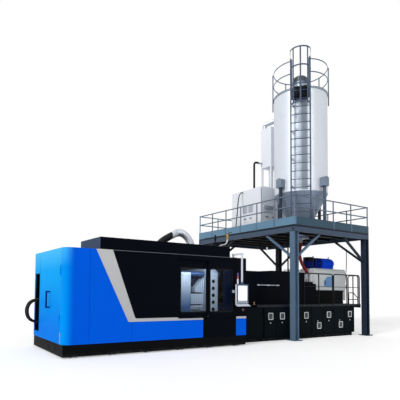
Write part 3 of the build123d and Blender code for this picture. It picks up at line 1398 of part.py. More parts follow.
def platform_frame():
    """Edge channels, a cross beam over the rear posts, joists and knee braces."""
    x0 = PLATFORM_X
    x1 = PLATFORM_END
    y0 = PLATFORM_FRONT
    y1 = PLATFORM_BACK
    flange = BEAM_FLANGE
    pieces = edge_beam(x0, x1, y0, y0 + flange, (0, 1))
    pieces += edge_beam(x0, x1, y1 - flange, y1, (0, -1))
    pieces += edge_beam(x0, x0 + flange, y0 + flange, y1 - flange, (1, 0))
    pieces += edge_beam(x1 - flange, x1, y0 + flange, y1 - flange, (-1, 0))
    for y in joist_places():
        pieces.append(block(x0 + flange, x1 - flange, y - JOIST_WIDTH * HALF, y + JOIST_WIDTH * HALF,
                            BEAM_TOP - JOIST_HEIGHT, BEAM_TOP))
    half = POST_SIZE * HALF
    for x, y in post_places():
        to_x = 1 if x < AXIS_X else -1
        to_y = 1 if y < TOWER_Y else -1
        foot_z = BEAM_BOTTOM - BRACE_DROP
        start = (x + to_x * half, y, foot_z)
        end = (x + to_x * (half + BRACE_RUN), y, BEAM_BOTTOM)
        pieces.append(knee_brace(start, end, (0, 1, 0)))
        start = (x, y + to_y * half, foot_z)
        end = (x, y + to_y * (half + BRACE_RUN), BEAM_BOTTOM)
        pieces.append(knee_brace(start, end, (1, 0, 0)))
    return group(*pieces)


def knee_brace(start, end, side):
    """A slanted brace with its ends cut flush to the post and the beam."""
    a = Vector(*start)
    b = Vector(*end)
    run = (b - a).normalized()
    brace = bar(a - run * BRACE_BAR, b + run * BRACE_BAR, BRACE_BAR, BRACE_BAR, side)
    out = Vector(b.X - a.X, b.Y - a.Y, 0).normalized()
    post_cut = Plane(origin=a, z_dir=out)
    beam_cut = Plane(origin=b, z_dir=(0, 0, -1))
    brace = split(brace, bisect_by=post_cut, keep=Keep.TOP)
    return split(brace, bisect_by=beam_cut, keep=Keep.TOP)


def platform_deck():
    """Deck plates, laid round the square hole that the hopper cone passes."""
    x0 = PLATFORM_X
    x1 = PLATFORM_END
    y0 = PLATFORM_FRONT
    y1 = PLATFORM_BACK
    half = DECK_HOLE * HALF
    hole_x0 = AXIS_X - half
    hole_x1 = AXIS_X + half
    hole_y0 = TOWER_Y - half
    hole_y1 = TOWER_Y + half
    return group(
        block(x0, x1, y0, hole_y0, BEAM_TOP, DECK_TOP),
        block(x0, x1, hole_y1, y1, BEAM_TOP, DECK_TOP),
        block(x0, hole_x0, hole_y0, hole_y1, BEAM_TOP, DECK_TOP),
        block(hole_x1, x1, hole_y0, hole_y1, BEAM_TOP, DECK_TOP),
    )


def platform_railing():
    """Toe boards, posts, top rails and middle rails round the platform."""
    x0 = PLATFORM_X
    x1 = PLATFORM_END
    y0 = PLATFORM_FRONT
    y1 = PLATFORM_BACK
    toe = TOE_WALL
    top = DECK_TOP + RAIL_RISE
    mid = DECK_TOP + RAIL_MID_RISE
    toe_top = DECK_TOP + TOE_HEIGHT
    pieces = [
        block(x0, x1, y0, y0 + toe, DECK_TOP, toe_top),
        block(x0, x1, y1 - toe, y1, DECK_TOP, toe_top),
        block(x0, x0 + toe, y0 + toe, y1 - toe, DECK_TOP, toe_top),
        block(x1 - toe, x1, y0 + toe, y1 - toe, DECK_TOP, toe_top),
    ]
    r = RAIL_POST_RADIUS
    inset = toe + r
    left = x0 + inset
    right = x1 - inset
    front = y0 + inset
    back = y1 - inset
    rail_z = top - RAIL_RADIUS
    along_x = spaced(left, right, FRONT_BAYS + 1)
    along_y = spaced(front, back, SIDE_BAYS + 1)
    places = [(x, y) for x in along_x for y in (front, back)]
    places += [(x, y) for y in along_y[1:-1] for x in (left, right)]
    for x, y in places:
        pieces.append(rod_z(x, y, DECK_TOP, rail_z - RAIL_RADIUS, r))
    for y in (front, back):
        pieces.append(rod_x(left - RAIL_RADIUS, right + RAIL_RADIUS, y, rail_z, RAIL_RADIUS))
        for a, b in zip(along_x, along_x[1:]):
            pieces.append(rod_x(a + r, b - r, y, mid, RAIL_RADIUS))
    for x in (left, right):
        pieces.append(rod_y(x, front + RAIL_RADIUS, back - RAIL_RADIUS, rail_z, RAIL_RADIUS))
        for a, b in zip(along_y, along_y[1:]):
            pieces.append(rod_y(x, a + r, b - r, mid, RAIL_RADIUS))
    return group(*pieces)


# Tower

def hopper():
    """Insulated drying hopper: cone, straight shell, rim and low roof, in one turned shape."""
    points = [
        (0, OUTLET_BOTTOM),
        (OUTLET_RADIUS, OUTLET_BOTTOM),
        (OUTLET_RADIUS, OUTLET_BOTTOM + OUTLET_RADIUS * HALF),
        (HOPPER_RADIUS, HOPPER_BOTTOM),
        (HOPPER_RADIUS, HOPPER_TOP - RIM_HEIGHT),
        (RIM_RADIUS, HOPPER_TOP - RIM_HEIGHT),
        (RIM_RADIUS, HOPPER_TOP),
        (ROOF_FLAT_RADIUS, HOPPER_TOP + ROOF_RISE),
        (0, HOPPER_TOP + ROOF_RISE),
    ]
    face = make_face(Polyline(*points, close=True))
    return Pos(AXIS_X, TOWER_Y, 0) * revolve(Plane.XZ * face, Axis.Z)


def hopper_legs():
    """Four legs on pads, with peaked boxed heads that grip the shell."""
    pieces = []
    half = HEAD_WIDTH * HALF
    head_top = HEAD_BOTTOM + HEAD_HEIGHT
    for turn in range(LEG_COUNT):
        to_place = Pos(AXIS_X, TOWER_Y, 0) * Rot(0, 0, turn * QUARTER_TURN)
        points = [
            (-half, HEAD_BOTTOM),
            (half, HEAD_BOTTOM),
            (half, head_top - HEAD_PEAK),
            (0, head_top),
            (-half, head_top - HEAD_PEAK),
        ]
        face = make_face(Polyline(*points, close=True))
        head = extrude(Plane.YZ.offset(HOPPER_RADIUS) * face, amount=HEAD_DEPTH)
        leg_x = HOPPER_RADIUS + HEAD_DEPTH * HALF
        leg = block(leg_x - LEG_SIZE * HALF, leg_x + LEG_SIZE * HALF, -LEG_SIZE * HALF, LEG_SIZE * HALF,
                    DECK_TOP + LEG_PAD_WALL, HEAD_BOTTOM)
        pad = block(leg_x - LEG_PAD * HALF, leg_x + LEG_PAD * HALF, -LEG_PAD * HALF, LEG_PAD * HALF,
                    DECK_TOP, DECK_TOP + LEG_PAD_WALL)
        pieces += [to_place * head, to_place * leg, to_place * pad]
    return group(*pieces)


def at_ladder(shape):
    """Turn a shape that was drawn with the ladder on +X to the ladder's real direction."""
    return Pos(AXIS_X, TOWER_Y, 0) * Rot(0, 0, LADDER_AZIMUTH) * shape


def ladder():
    """Stiles, rungs and wall brackets."""
    half = LADDER_WIDTH * HALF
    pieces = []
    for side in (-1, 1):
        inner = side * half
        outer = side * (half + STILE)
        pieces.append(block(LADDER_REACH, LADDER_REACH + STILE, min(inner, outer), max(inner, outer),
                            DECK_TOP, STILE_TOP))
        y = side * (half + STILE * HALF)
        for i in range(BRACKET_COUNT):
            z = DECK_TOP + BRACKET_FIRST + i * BRACKET_PITCH
            bracket = block(HOPPER_RADIUS * HALF, LADDER_REACH, y - BRACKET_BAR * HALF,
                            y + BRACKET_BAR * HALF, z, z + BRACKET_BAR)
            pieces.append(bracket - rod_z(0, 0, z, z + BRACKET_BAR, HOPPER_RADIUS))
    for i in range(RUNG_COUNT):
        z = DECK_TOP + RUNG_FIRST + i * RUNG_PITCH
        pieces.append(rod_y(LADDER_REACH + STILE * HALF, -half, half, z, RUNG_RADIUS))
    return group(*[at_ladder(piece) for piece in pieces])


def ring_arc(radius, wall, height, start, sweep_angle):
    """A flat bar on edge, bent to part of a circle about the origin."""
    ring = Circle(radius) - Circle(radius - wall)
    reach = radius * 2
    cuts = (start, start + sweep_angle * HALF, start + sweep_angle)
    points = [(0, 0)]
    points += [(reach * cos(radians(angle)), reach * sin(radians(angle))) for angle in cuts]
    wedge = make_face(Polyline(*points, close=True))
    return extrude(ring & wedge, amount=height)


def ladder_cage():
    """Safety cage: U-shaped flat hoops on the stiles and upright straps inside them."""
    half = LADDER_WIDTH * HALF + STILE
    front = LADDER_REACH + STILE
    centre_x = front + CAGE_LEG
    wall = CAGE_WALL
    pieces = []
    for z in spaced(CAGE_BOTTOM, CAGE_TOP - CAGE_BAR, CAGE_HOOPS):
        pieces.append(block(front, centre_x, -half, -half + wall, z, z + CAGE_BAR))
        pieces.append(block(front, centre_x, half - wall, half, z, z + CAGE_BAR))
        step = QUARTER_TURN * 2 / CAGE_ARCS
        for i in range(CAGE_ARCS):
            arc = ring_arc(half, wall, CAGE_BAR, -QUARTER_TURN + i * step, step)
            pieces.append(Pos(centre_x, 0, z) * arc)
    inner = sqrt((half - wall) ** 2 - (CAGE_BAR * HALF) ** 2)
    for angle in spaced(-QUARTER_TURN, QUARTER_TURN, CAGE_STRAPS):
        strap = block(inner - wall, inner, -CAGE_BAR * HALF, CAGE_BAR * HALF, CAGE_BOTTOM, CAGE_TOP)
        pieces.append(Pos(centre_x, 0, 0) * Rot(0, 0, angle) * strap)
    return group(*[at_ladder(piece) for piece in pieces])


def ladder_landing():
    """Dark landing box between the ladder head and the hopper rim."""
    half = LADDER_WIDTH * HALF - STILE
    landing = block(HOPPER_RADIUS * HALF, LADDER_REACH, -half, half, LANDING_BOTTOM, LANDING_TOP)
    return at_ladder(landing - rod_z(0, 0, LANDING_BOTTOM, LANDING_TOP, HOPPER_RADIUS))


def top_railing():
    """Guard rail round the hopper top, open at the ladder."""
    pieces = []
    span = FULL_TURN - TOP_GAP_ANGLE * 2
    step = span / TOP_RAIL_ARCS
    for z in (TOP_RAIL_TOP - TOP_RAIL_BAR, TOP_RAIL_MID - TOP_RAIL_BAR):
        for i in range(TOP_RAIL_ARCS):
            pieces.append(Pos(0, 0, z) * ring_arc(RIM_RADIUS, TOP_RAIL_WALL, TOP_RAIL_BAR,
                                                  TOP_GAP_ANGLE + i * step, step))
    post_at = RIM_RADIUS + TOP_POST_RADIUS
    for angle in (TOP_GAP_ANGLE, *TOP_POST_ANGLES, FULL_TURN - TOP_GAP_ANGLE):
        pieces.append(Rot(0, 0, angle) * rod_z(post_at, 0, TOP_POST_BOTTOM, TOP_RAIL_TOP, TOP_POST_RADIUS))
    return group(*[at_ladder(piece) for piece in pieces])


def vacuum_receiver():
    """Vacuum receiver on the hopper roof: neck, drum and domed lid, in one turned shape."""
    z = HOPPER_TOP + ROOF_RISE
    top = z + RECEIVER_NECK + RECEIVER_HEIGHT
    outline = Polyline(
        (0, top + RECEIVER_DOME), (0, z), (RECEIVER_NECK_RADIUS, z),
        (RECEIVER_NECK_RADIUS, z + RECEIVER_NECK * HALF), (RECEIVER_RADIUS, z + RECEIVER_NECK * 2),
        (RECEIVER_RADIUS, top))
    ball = (RECEIVER_RADIUS ** 2 + RECEIVER_DOME ** 2) / (RECEIVER_DOME * 2)
    half = RECEIVER_RADIUS * HALF
    rise = top + RECEIVER_DOME - ball + sqrt(ball ** 2 - half ** 2)
    dome = ThreePointArc((RECEIVER_RADIUS, top), (half, rise), (0, top + RECEIVER_DOME))
    face = make_face(outline.edges() + [dome.edge()])
    return Pos(AXIS_X, TOWER_Y, 0) * revolve(Plane.XZ * face, Axis.Z)


def gate_levels():
    """Upper and lower level of the slide gate blade."""
    top = OUTLET_BOTTOM - GATE_FRAME - BLADE_FIT
    return top - GATE_BLADE_WALL, top


def slide_gate_frame():
    """Slide gate housing under the hopper: flanges, side bars and the outlet spout."""
    low, high = gate_levels()
    half = GATE_BLADE_WIDTH * HALF
    out = half + GATE_FRAME
    x, y = AXIS_X, TOWER_Y
    upper = block(x - out, x + out, y - out, y + out, high + BLADE_FIT, OUTLET_BOTTOM)
    lower = block(x - out, x + out, y - out, y + out, low - BLADE_FIT - GATE_FRAME, low - BLADE_FIT)
    spout_top = low - BLADE_FIT - GATE_FRAME
    spout = rod_z(x, y, spout_top - SPOUT_LENGTH, spout_top, SPOUT_RADIUS)
    sides = []
    for side in (-1, 1):
        a = x + side * (half + BLADE_FIT)
        b = x + side * out
        sides.append(block(min(a, b), max(a, b), y - out, y + out, low - BLADE_FIT, high + BLADE_FIT))
    return group(upper, lower, spout, *sides)


def slide_gate():
    """Slide gate blade with its grip."""
    low, high = gate_levels()
    half = GATE_BLADE_WIDTH * HALF
    x, y = AXIS_X, TOWER_Y
    front = y - half - GATE_FRAME - BLADE_GRIP
    blade = block(x - half, x + half, front, y + half, low, high)
    grip = block(x - half * HALF, x + half * HALF, front - GATE_BLADE_WALL, front, low - GATE_FRAME,
                 high + GATE_FRAME)
    return blade + grip


# Dryer

def dryer_unit():
    """Dryer cabinet, open on its door side, with the filter box above it on legs."""
    x0 = DRYER_X0
    x1 = DRYER_X0 + DRYER_LENGTH
    y0 = DRYER_Y0
    y1 = DRYER_Y0 + DRYER_DEPTH
    z0 = DECK_TOP
    z1 = DRYER_TOP
    wall = DRYER_WALL
    door_y0 = y0 + DRYER_DOOR_MARGIN
    door_y1 = door_y0 + DRYER_DOOR_WIDTH
    pieces = [
        block(x0, x1, y0, y1, z0, z0 + wall),
        block(x0, x1, y0, y1, z1 - wall, z1),
        block(x1 - wall, x1, y0, y1, z0 + wall, z1 - wall),
        block(x0, x1 - wall, y0, y0 + wall, z0 + wall, z1 - wall),
        block(x0, x1 - wall, y1 - wall, y1, z0 + wall, z1 - wall),
        block(x0, x0 + wall, door_y1, y1 - wall, z0 + wall, z1 - wall),
        block(x0, x0 + wall, y0 + wall, door_y0, z0 + wall, z1 - wall),
    ]
    fx = x0 + FILTER_X
    fy = y0 + FILTER_Y
    filter_z = z1 + FILTER_RISE
    pieces.append(block(fx, fx + FILTER_LENGTH, fy, fy + FILTER_DEPTH, filter_z, filter_z + FILTER_HEIGHT))
    for leg_x in (fx, fx + FILTER_LENGTH - FILTER_LEG):
        for leg_y in (fy, fy + FILTER_DEPTH - FILTER_LEG):
            pieces.append(block(leg_x, leg_x + FILTER_LEG, leg_y, leg_y + FILTER_LEG, z1, filter_z))
    return group(*pieces)


def dryer_door():
    """Door of the dryer cabinet with its hinge barrels."""
    y0 = DRYER_Y0 + DRYER_DOOR_MARGIN + GATE_FIT
    y1 = DRYER_Y0 + DRYER_DOOR_MARGIN + DRYER_DOOR_WIDTH - GATE_FIT
    z0 = DECK_TOP + DRYER_WALL + GATE_FIT
    z1 = DRYER_TOP - DRYER_WALL - GATE_FIT
    leaf = block(DRYER_X0, DRYER_X0 + DRYER_WALL, y0, y1, z0, z1)
    r = DOOR_KNUCKLE_RADIUS
    barrels = []
    for z in (z0 + DRYER_DOOR_MARGIN, z1 - DRYER_DOOR_MARGIN - DOOR_KNUCKLE_LENGTH):
        barrels.append(rod_z(DRYER_X0 - r, y0 + r, z, z + DOOR_KNUCKLE_LENGTH, r))
    return group(leaf, *barrels)


def air_ducts():
    """Silver ducts: filter box to hopper shell, dryer up to filter box, and the arch on the roof."""
    filter_z = DRYER_TOP + FILTER_RISE
    filter_top = filter_z + FILTER_HEIGHT
    r = DUCT_RADIUS
    x = DRYER_X0 + FILTER_X + DUCT_INSET
    front = DRYER_Y0 + FILTER_Y
    y = front + FILTER_DEPTH - DUCT_INSET
    top = filter_top + DUCT_RISE
    inlet_y = TOWER_Y + HOPPER_RADIUS * HALF
    upper = bent_tube([(x, y, filter_top), (x, y, top), (x, inlet_y, top)], r, DUCT_BEND)
    upper -= rod_z(AXIS_X, TOWER_Y, HOPPER_BOTTOM, HOPPER_TOP, HOPPER_RADIUS)
    lower = rod_z(x + DUCT_INSET, front + DUCT_INSET * 2, DRYER_TOP, filter_z, r)
    hood_top = GUARD_TOP + ROOF_HOOD_HEIGHT
    y = ROOF_HOSE_Y
    knee_x = ROOF_DUCT_END
    peak = (ROOF_DUCT_X, y, ROOF_DUCT_PEAK)
    knee = (knee_x, y, hood_top + ROOF_DUCT_KNEE)
    arch = hose([roof_joint(), peak, knee, (knee_x, y, hood_top)], ROOF_DUCT_RADIUS)
    return group(upper, lower, arch)


def roof_joint():
    """Point on the roof where the black hose meets the silver duct."""
    hood_top = GUARD_TOP + ROOF_HOOD_HEIGHT
    foot_z = hood_top + ROOF_HOSE_RISE
    share = ROOF_HOSE_SHARE
    x = ROOF_HOSE_X + (ROOF_DUCT_X - ROOF_HOSE_X) * share
    return (x, ROOF_HOSE_Y, foot_z + (ROOF_DUCT_PEAK - foot_z) * share)


def air_hoses():
    """Black hoses: the bent one beside the filter box, and the slanted one on the roof hood."""
    box_x = DRYER_X0 + FILTER_X
    y = DRYER_Y0 + FILTER_Y + FILTER_DEPTH * BLACK_HOSE_SHARE
    x = box_x - BLACK_HOSE_REACH
    z = DRYER_TOP + FILTER_RISE + BLACK_HOSE_RISE
    side = bent_tube([(x, y, DRYER_TOP), (x, y, z), (box_x, y, z)], BLACK_HOSE_RADIUS, BLACK_HOSE_BEND)
    hood_top = GUARD_TOP + ROOF_HOOD_HEIGHT
    foot = (ROOF_HOSE_X, ROOF_HOSE_Y, hood_top)
    knee = (ROOF_HOSE_X, ROOF_HOSE_Y, hood_top + ROOF_HOSE_RISE)
    slant = hose([foot, knee, roof_joint()], ROOF_HOSE_RADIUS)
    return group(side, slant)


def bent_tube(points, radius, bend):
    """A round duct along points with one bend radius."""
    if len(points) == 2:
        path = Line(*points)
    else:
        path = FilletPolyline(*points, radius=bend)
    return sweep(Plane(origin=path @ 0, z_dir=path % 0) * Circle(radius), path=path)


# Free hoses

def end_hose_route(y):
    """Route of a hose that leaves the hose bay and goes back in lower down."""
    inside = PANEL_WALL + BAY_DEPTH
    low = END_HOSE_MIDDLE - END_HOSE_SPREAD
    high = END_HOSE_MIDDLE + END_HOSE_SPREAD
    turn = END_HOSE_SPREAD * END_HOSE_TURN_SHARE
    return [
        (inside, y, high),
        (-END_HOSE_LEAVE, y, high),
        (-END_HOSE_REACH * END_HOSE_WAIST_SHARE, y, high - turn),
        (-END_HOSE_REACH, y, END_HOSE_MIDDLE),
        (-END_HOSE_REACH * END_HOSE_WAIST_SHARE, y, low + turn),
        (-END_HOSE_LEAVE, y, low),
        (inside, y, low),
    ]


def feed_route():
    """Route of the feed hose from the spout under the hopper to the inlet of the feed throat."""
    start = OUTLET_BOTTOM - GATE_FRAME * 2 - GATE_BLADE_WALL - BLADE_FIT * 2 - SPOUT_LENGTH
    end = EXTRUDER_Z + THROAT_HEIGHT * HALF + INLET_HEIGHT
    points = [(AXIS_X, TOWER_Y, start)]
    for aside, inward, share in FEED_SHARES:
        points.append((AXIS_X + aside, TOWER_Y - inward, start + (end - start) * share))
    points.append((THROAT_X, AXIS_Y, end + FEED_END_RUN))
    points.append((THROAT_X, AXIS_Y, end))
    return points


def dryer_cable_route():
    """Route of the cable from the dryer's side down to the deck beside the toe board."""
    y = DRYER_Y0 + DRYER_CABLE_PLACE
    z = DRYER_TOP - DRYER_CABLE_DROP
    leave = DRYER_X0 - DRYER_CABLE_LEAVE
    foot_x = PLATFORM_X + DRYER_CABLE_FOOT_X
    foot_y = DRYER_Y0 + DRYER_CABLE_FOOT_Y
    return [
        (DRYER_X0, y, z),
        (leave, y, z),
        ((leave + foot_x) * HALF, (y + foot_y) * HALF, (z + DECK_TOP) * HALF - DRYER_CABLE_SAG),
        (foot_x, foot_y, DECK_TOP + DRYER_CABLE_FOOT_RUN),
        (foot_x, foot_y, DECK_TOP),
    ]


def drive_cable_route():
    """Route of the cable that hangs from a knee brace to the terminal box of the drive housing."""
    half = POST_SIZE * HALF
    share = DRIVE_CABLE_BRACE_SHARE
    slope = sqrt(BRACE_RUN ** 2 + BRACE_DROP ** 2) / BRACE_RUN
    x = PLATFORM_END - half
    y = PLATFORM_FRONT + POST_SIZE + BRACE_RUN * share
    under = BRACE_BAR * HALF * slope + DRIVE_CABLE_RADIUS * BRACE_DROP / BRACE_RUN
    top = BEAM_BOTTOM - BRACE_DROP * (1 - share) - under
    foot_x = HOUSING_END + TERMINAL_WIDTH * HALF
    foot_y = HOUSING_Y + TERMINAL_WIDTH * HALF
    foot_z = HOUSING_BOTTOM + TERMINAL_BOTTOM + TERMINAL_HEIGHT
    return [
        (x, y, top),
        (x, y, top - DRIVE_CABLE_RUN),
        ((x + foot_x) * HALF + DRIVE_CABLE_BOW, (y + foot_y) * HALF, (top + foot_z) * HALF),
        (foot_x, foot_y, foot_z + DRIVE_CABLE_RUN),
        (foot_x, foot_y, foot_z),
    ]


NODES = {
    "machine_bed": machine_bed,
    "levelling_pads": levelling_pads,
    "guard_frame": guard_frame,
    "corner_panel": corner_panel,
    "front_blue_panel": front_blue_panel,
    "lower_blue_panels": lower_blue_panels,
    "silver_trim": silver_trim,
    "black_front_panels": black_front_panels,
    "end_panels": end_panels,
    "rear_panels": rear_panels,
    "roof_panel": roof_panel,
    "roof_hood": roof_hood,
    "end_door": end_door,
    "gate_tracks": gate_tracks,
    "fixed_platens": fixed_platens,
    "tie_bars": tie_bars,
    "moving_platen": moving_platen,
    "mould_core_half": mould_core_half,
    "mould_cavity_half": mould_cavity_half,
    "hmi_arm": hmi_arm,
    "hmi_panel": hmi_panel,
    "cabinet_carcass": cabinet_carcass,
    "control_gear": control_gear,
    "walkway_deck": walkway_deck,
    "walkway_rails": walkway_rails,
    "injection_unit": injection_unit,
    "extruder_screw": extruder_screw,
    "drive_housing": drive_housing,
    "drive_motors": drive_motors,
    "barrel_covers": barrel_covers,
    "platform_frame": platform_frame,
    "platform_deck": platform_deck,
    "platform_railing": platform_railing,
    "hopper": hopper,
    "hopper_legs": hopper_legs,
    "ladder": ladder,
    "top_railing": top_railing,
    "vacuum_receiver": vacuum_receiver,
    "slide_gate": slide_gate,
    "dryer_unit": dryer_unit,
    "dryer_door": dryer_door,
    "air_ducts": air_ducts,
    "air_hoses": air_hoses,
}


def main():
    os.makedirs("parts", exist_ok=True)
    shift = Pos(-FRAME_X, -FRAME_Y, 0)
    shapes = {name: make() for name, make in NODES.items()}
    inner_end = GATE_START + INNER_GATE_WIDTH
    inner_window = gate_window(GATE_START + WINDOW_INNER_START, inner_end - WINDOW_INNER_END)
    outer_window = gate_window(OUTER_GATE_START + WINDOW_OUTER_START, GATE_END - WINDOW_OUTER_END)
    shapes["inner_gate"] = gate_leaf(GATE_START + GATE_FIT, inner_end, INNER_GATE_Y, inner_window)
    shapes["inner_gate_glass"] = gate_glass(INNER_GATE_Y, inner_window)
    outer_leaf = gate_leaf(OUTER_GATE_START, GATE_END, OUTER_GATE_Y, outer_window)
    shapes["outer_gate"] = group(outer_leaf, gate_knob())
    shapes["outer_gate_glass"] = gate_glass(OUTER_GATE_Y, outer_window)
    collar, shapes["estop_button"] = estop_parts()
    shapes["black_front_panels"] = group(shapes["black_front_panels"], collar)
    shapes["rear_panels"] = group(shapes["rear_panels"], hose_bay())
    shapes["cabinet_carcass"] = group(shapes["cabinet_carcass"], hinge_pins())
    shapes["drive_housing"] = group(shapes["drive_housing"], service_panel(), drive_base())
    shapes["drive_motors"] = group(shapes["drive_motors"], motor_drum(), motor_cowl())
    shapes["platform_frame"] = group(shapes["platform_frame"], platform_posts())
    shapes["ladder"] = group(shapes["ladder"], ladder_cage(), ladder_landing())
    shapes["hopper"] = group(shapes["hopper"], slide_gate_frame())
    for index in range(NEAR_DOORS + FAR_DOORS):
        shapes["cabinet_door_" + str(index + 1)] = cabinet_door(index)
    for name, y in zip(("end_hose_near", "end_hose_far"), END_HOSE_PLACES):
        shapes[name] = hose(end_hose_route(y), END_HOSE_RADIUS)
    shapes["feed_hose"] = hose(feed_route(), FEED_HOSE_RADIUS)
    shapes["dryer_cable"] = hose(dryer_cable_route(), DRYER_CABLE_RADIUS)
    shapes["drive_cable"] = hose(drive_cable_route(), DRIVE_CABLE_RADIUS)
    for name, shape in shapes.items():
        export_step(shift * shape, os.path.join("parts", name + ".step"))


if __name__ == "__main__":
    main()
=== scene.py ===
import math

import bmesh
import bpy
import numpy as np
from bpy.props import FloatProperty, FloatVectorProperty, IntProperty, PointerProperty
from mathutils import Matrix, Vector


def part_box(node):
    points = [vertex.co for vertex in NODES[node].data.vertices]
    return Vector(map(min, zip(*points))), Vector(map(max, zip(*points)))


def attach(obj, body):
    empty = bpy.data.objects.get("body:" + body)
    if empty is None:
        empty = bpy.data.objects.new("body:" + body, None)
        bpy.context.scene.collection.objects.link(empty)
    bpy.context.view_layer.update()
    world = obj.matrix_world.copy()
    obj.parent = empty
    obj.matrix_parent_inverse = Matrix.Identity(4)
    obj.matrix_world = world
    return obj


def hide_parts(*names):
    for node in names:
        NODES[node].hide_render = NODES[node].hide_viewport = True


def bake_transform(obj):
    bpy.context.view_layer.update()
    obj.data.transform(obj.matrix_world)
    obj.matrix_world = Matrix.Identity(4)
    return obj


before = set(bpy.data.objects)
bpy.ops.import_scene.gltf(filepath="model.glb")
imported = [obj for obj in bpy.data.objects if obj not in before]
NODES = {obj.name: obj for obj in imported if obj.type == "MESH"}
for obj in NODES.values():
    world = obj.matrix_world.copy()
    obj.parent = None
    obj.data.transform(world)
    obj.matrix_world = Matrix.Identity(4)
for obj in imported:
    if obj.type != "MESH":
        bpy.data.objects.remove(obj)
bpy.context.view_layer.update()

bl_info = {
    "name": "Preform moulding machine",
    "version": (1, 0, 0),
    "blender": (4, 5, 0),
    "location": "3D View > Sidebar > Machine",
    "description": "Finishes and fine pieces of a preform injection moulding machine",
    "category": "Object",
}

# Lengths are metres. Places are written from the guard's outer corner at the
# clamp end on the operator's side: X towards the injection end, Y inwards and
# Z up from the floor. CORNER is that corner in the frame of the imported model.
BED_LIP = 0.010
CORNER = np.array(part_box("machine_bed")[0]) * (1, 1, 0) - (BED_LIP, BED_LIP, 0)

X_AXIS = np.array((1.0, 0.0, 0.0))
Y_AXIS = np.array((0.0, 1.0, 0.0))
Z_AXIS = np.array((0.0, 0.0, 1.0))
FRONT = (X_AXIS, Z_AXIS)
CLAMP_END = (-Y_AXIS, Z_AXIS)
DRIVE_END = (Y_AXIS, Z_AXIS)
TOP = (X_AXIS, Y_AXIS)

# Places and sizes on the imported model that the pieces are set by
ROOF_TOP = 2.550
SCREEN = ((4.941, 5.299), (1.286, 1.744))
DOOR_FACE = 0.420
BREATHER_RISE = 0.024
HINGE_LAP = 0.009
LOW_BREATHERS = (4, 6)
SLAT_TILT = 28.0
MOTOR_AXIS = (1.425, 2.68)
PORT_ROWS = (1.040, 1.245, 1.450, 1.655, 1.860)
PORT_SPOT = (4.6875, 0.520)
COVER_FACE = 1.000
POSTS_X = (7.810, 11.616)
POSTS_Y = (0.230, 4.500)
BEAM_FRONT = 0.130
BEAM_END = 7.710
BEAM_ROWS = (3.605, 3.700)
DECK_TOP = 3.773
TOWER = (9.490, 1.400)
LEG_REACH = 1.060
HOPPER_RADIUS = 0.960
LADDER_AIM = 221.0
DRYER_END = 8.730
DRYER_FRONT = 2.640

# Angles past which an edge is sharp, on tubes and on rounded beads
TUBE_SHARP = 60.0
BEAD_SHARP = 50.0

# Below real glass, so that the panes show what is behind them
PANE_IOR = 1.15


def linear(red, green, blue):
    """Scene colour of an 8-bit screen colour, by the screen's transfer curve."""
    value = np.array((red, green, blue)) / 255
    curve = ((value + 0.055) / 1.055) ** 2.4
    return tuple(float(part) for part in np.where(value <= 0.04045, value / 12.92, curve))


# Colours of zones and patches within a finish; those marked painted light, shade or shadow stand in for how
# light falls
# Painted light: the middle of the guard's end, lighter than its lower part
LIT_END_MIDDLE = linear(0, 166, 246)
# Painted light: the bluish light of the mould bay on its black side wall
LIT_BAY_WALL = linear(26, 50, 96)
DRUM_NAVY = linear(4, 22, 92)
# Painted shade: the left part of the drive motor, on its shaded side
SHADED_MOTOR_NAVY = linear(2, 30, 128)
# Painted shade: the platform's rear posts and braces, back-lit
SHADED_REAR_POSTS = linear(24, 32, 44)
# Painted shade: the far front post of the platform and its braces
SHADED_FAR_POST = linear(34, 46, 62)
# Painted shade: the front toe boards, darker than the lit end ones
SHADED_FRONT_TOE = linear(52, 80, 98)
# Painted shadow: the darkest band of the ladder's shadow on the hopper
LADDER_SHADOW_CORE = linear(136, 148, 160)
RIM_SHADE = linear(136, 148, 162)
RECEIVER_FOOT = linear(140, 150, 162)
# Painted shade: the hopper legs below their heads, under the hopper
LEGS_IN_SHADE = linear(48, 58, 74)
# Painted light: the near leg, lighter where light falls on it
LIT_NEAR_LEG = linear(84, 98, 118)
DUST = (0.36, 0.35, 0.33, 1)
SCUFF = (0.42, 0.43, 0.44, 1)
BUTTON_GREY = (0.3, 0.3, 0.33)


def colour(title, note, red, green, blue):
    """A colour that a user can change."""
    return FloatVectorProperty(name=title, description=note, subtype="COLOR", min=0, max=1,
                               default=linear(red, green, blue))


def length(title, note, size):
    """A length that a user can change."""
    return FloatProperty(name=title, description=note, default=size, min=0, unit="LENGTH")


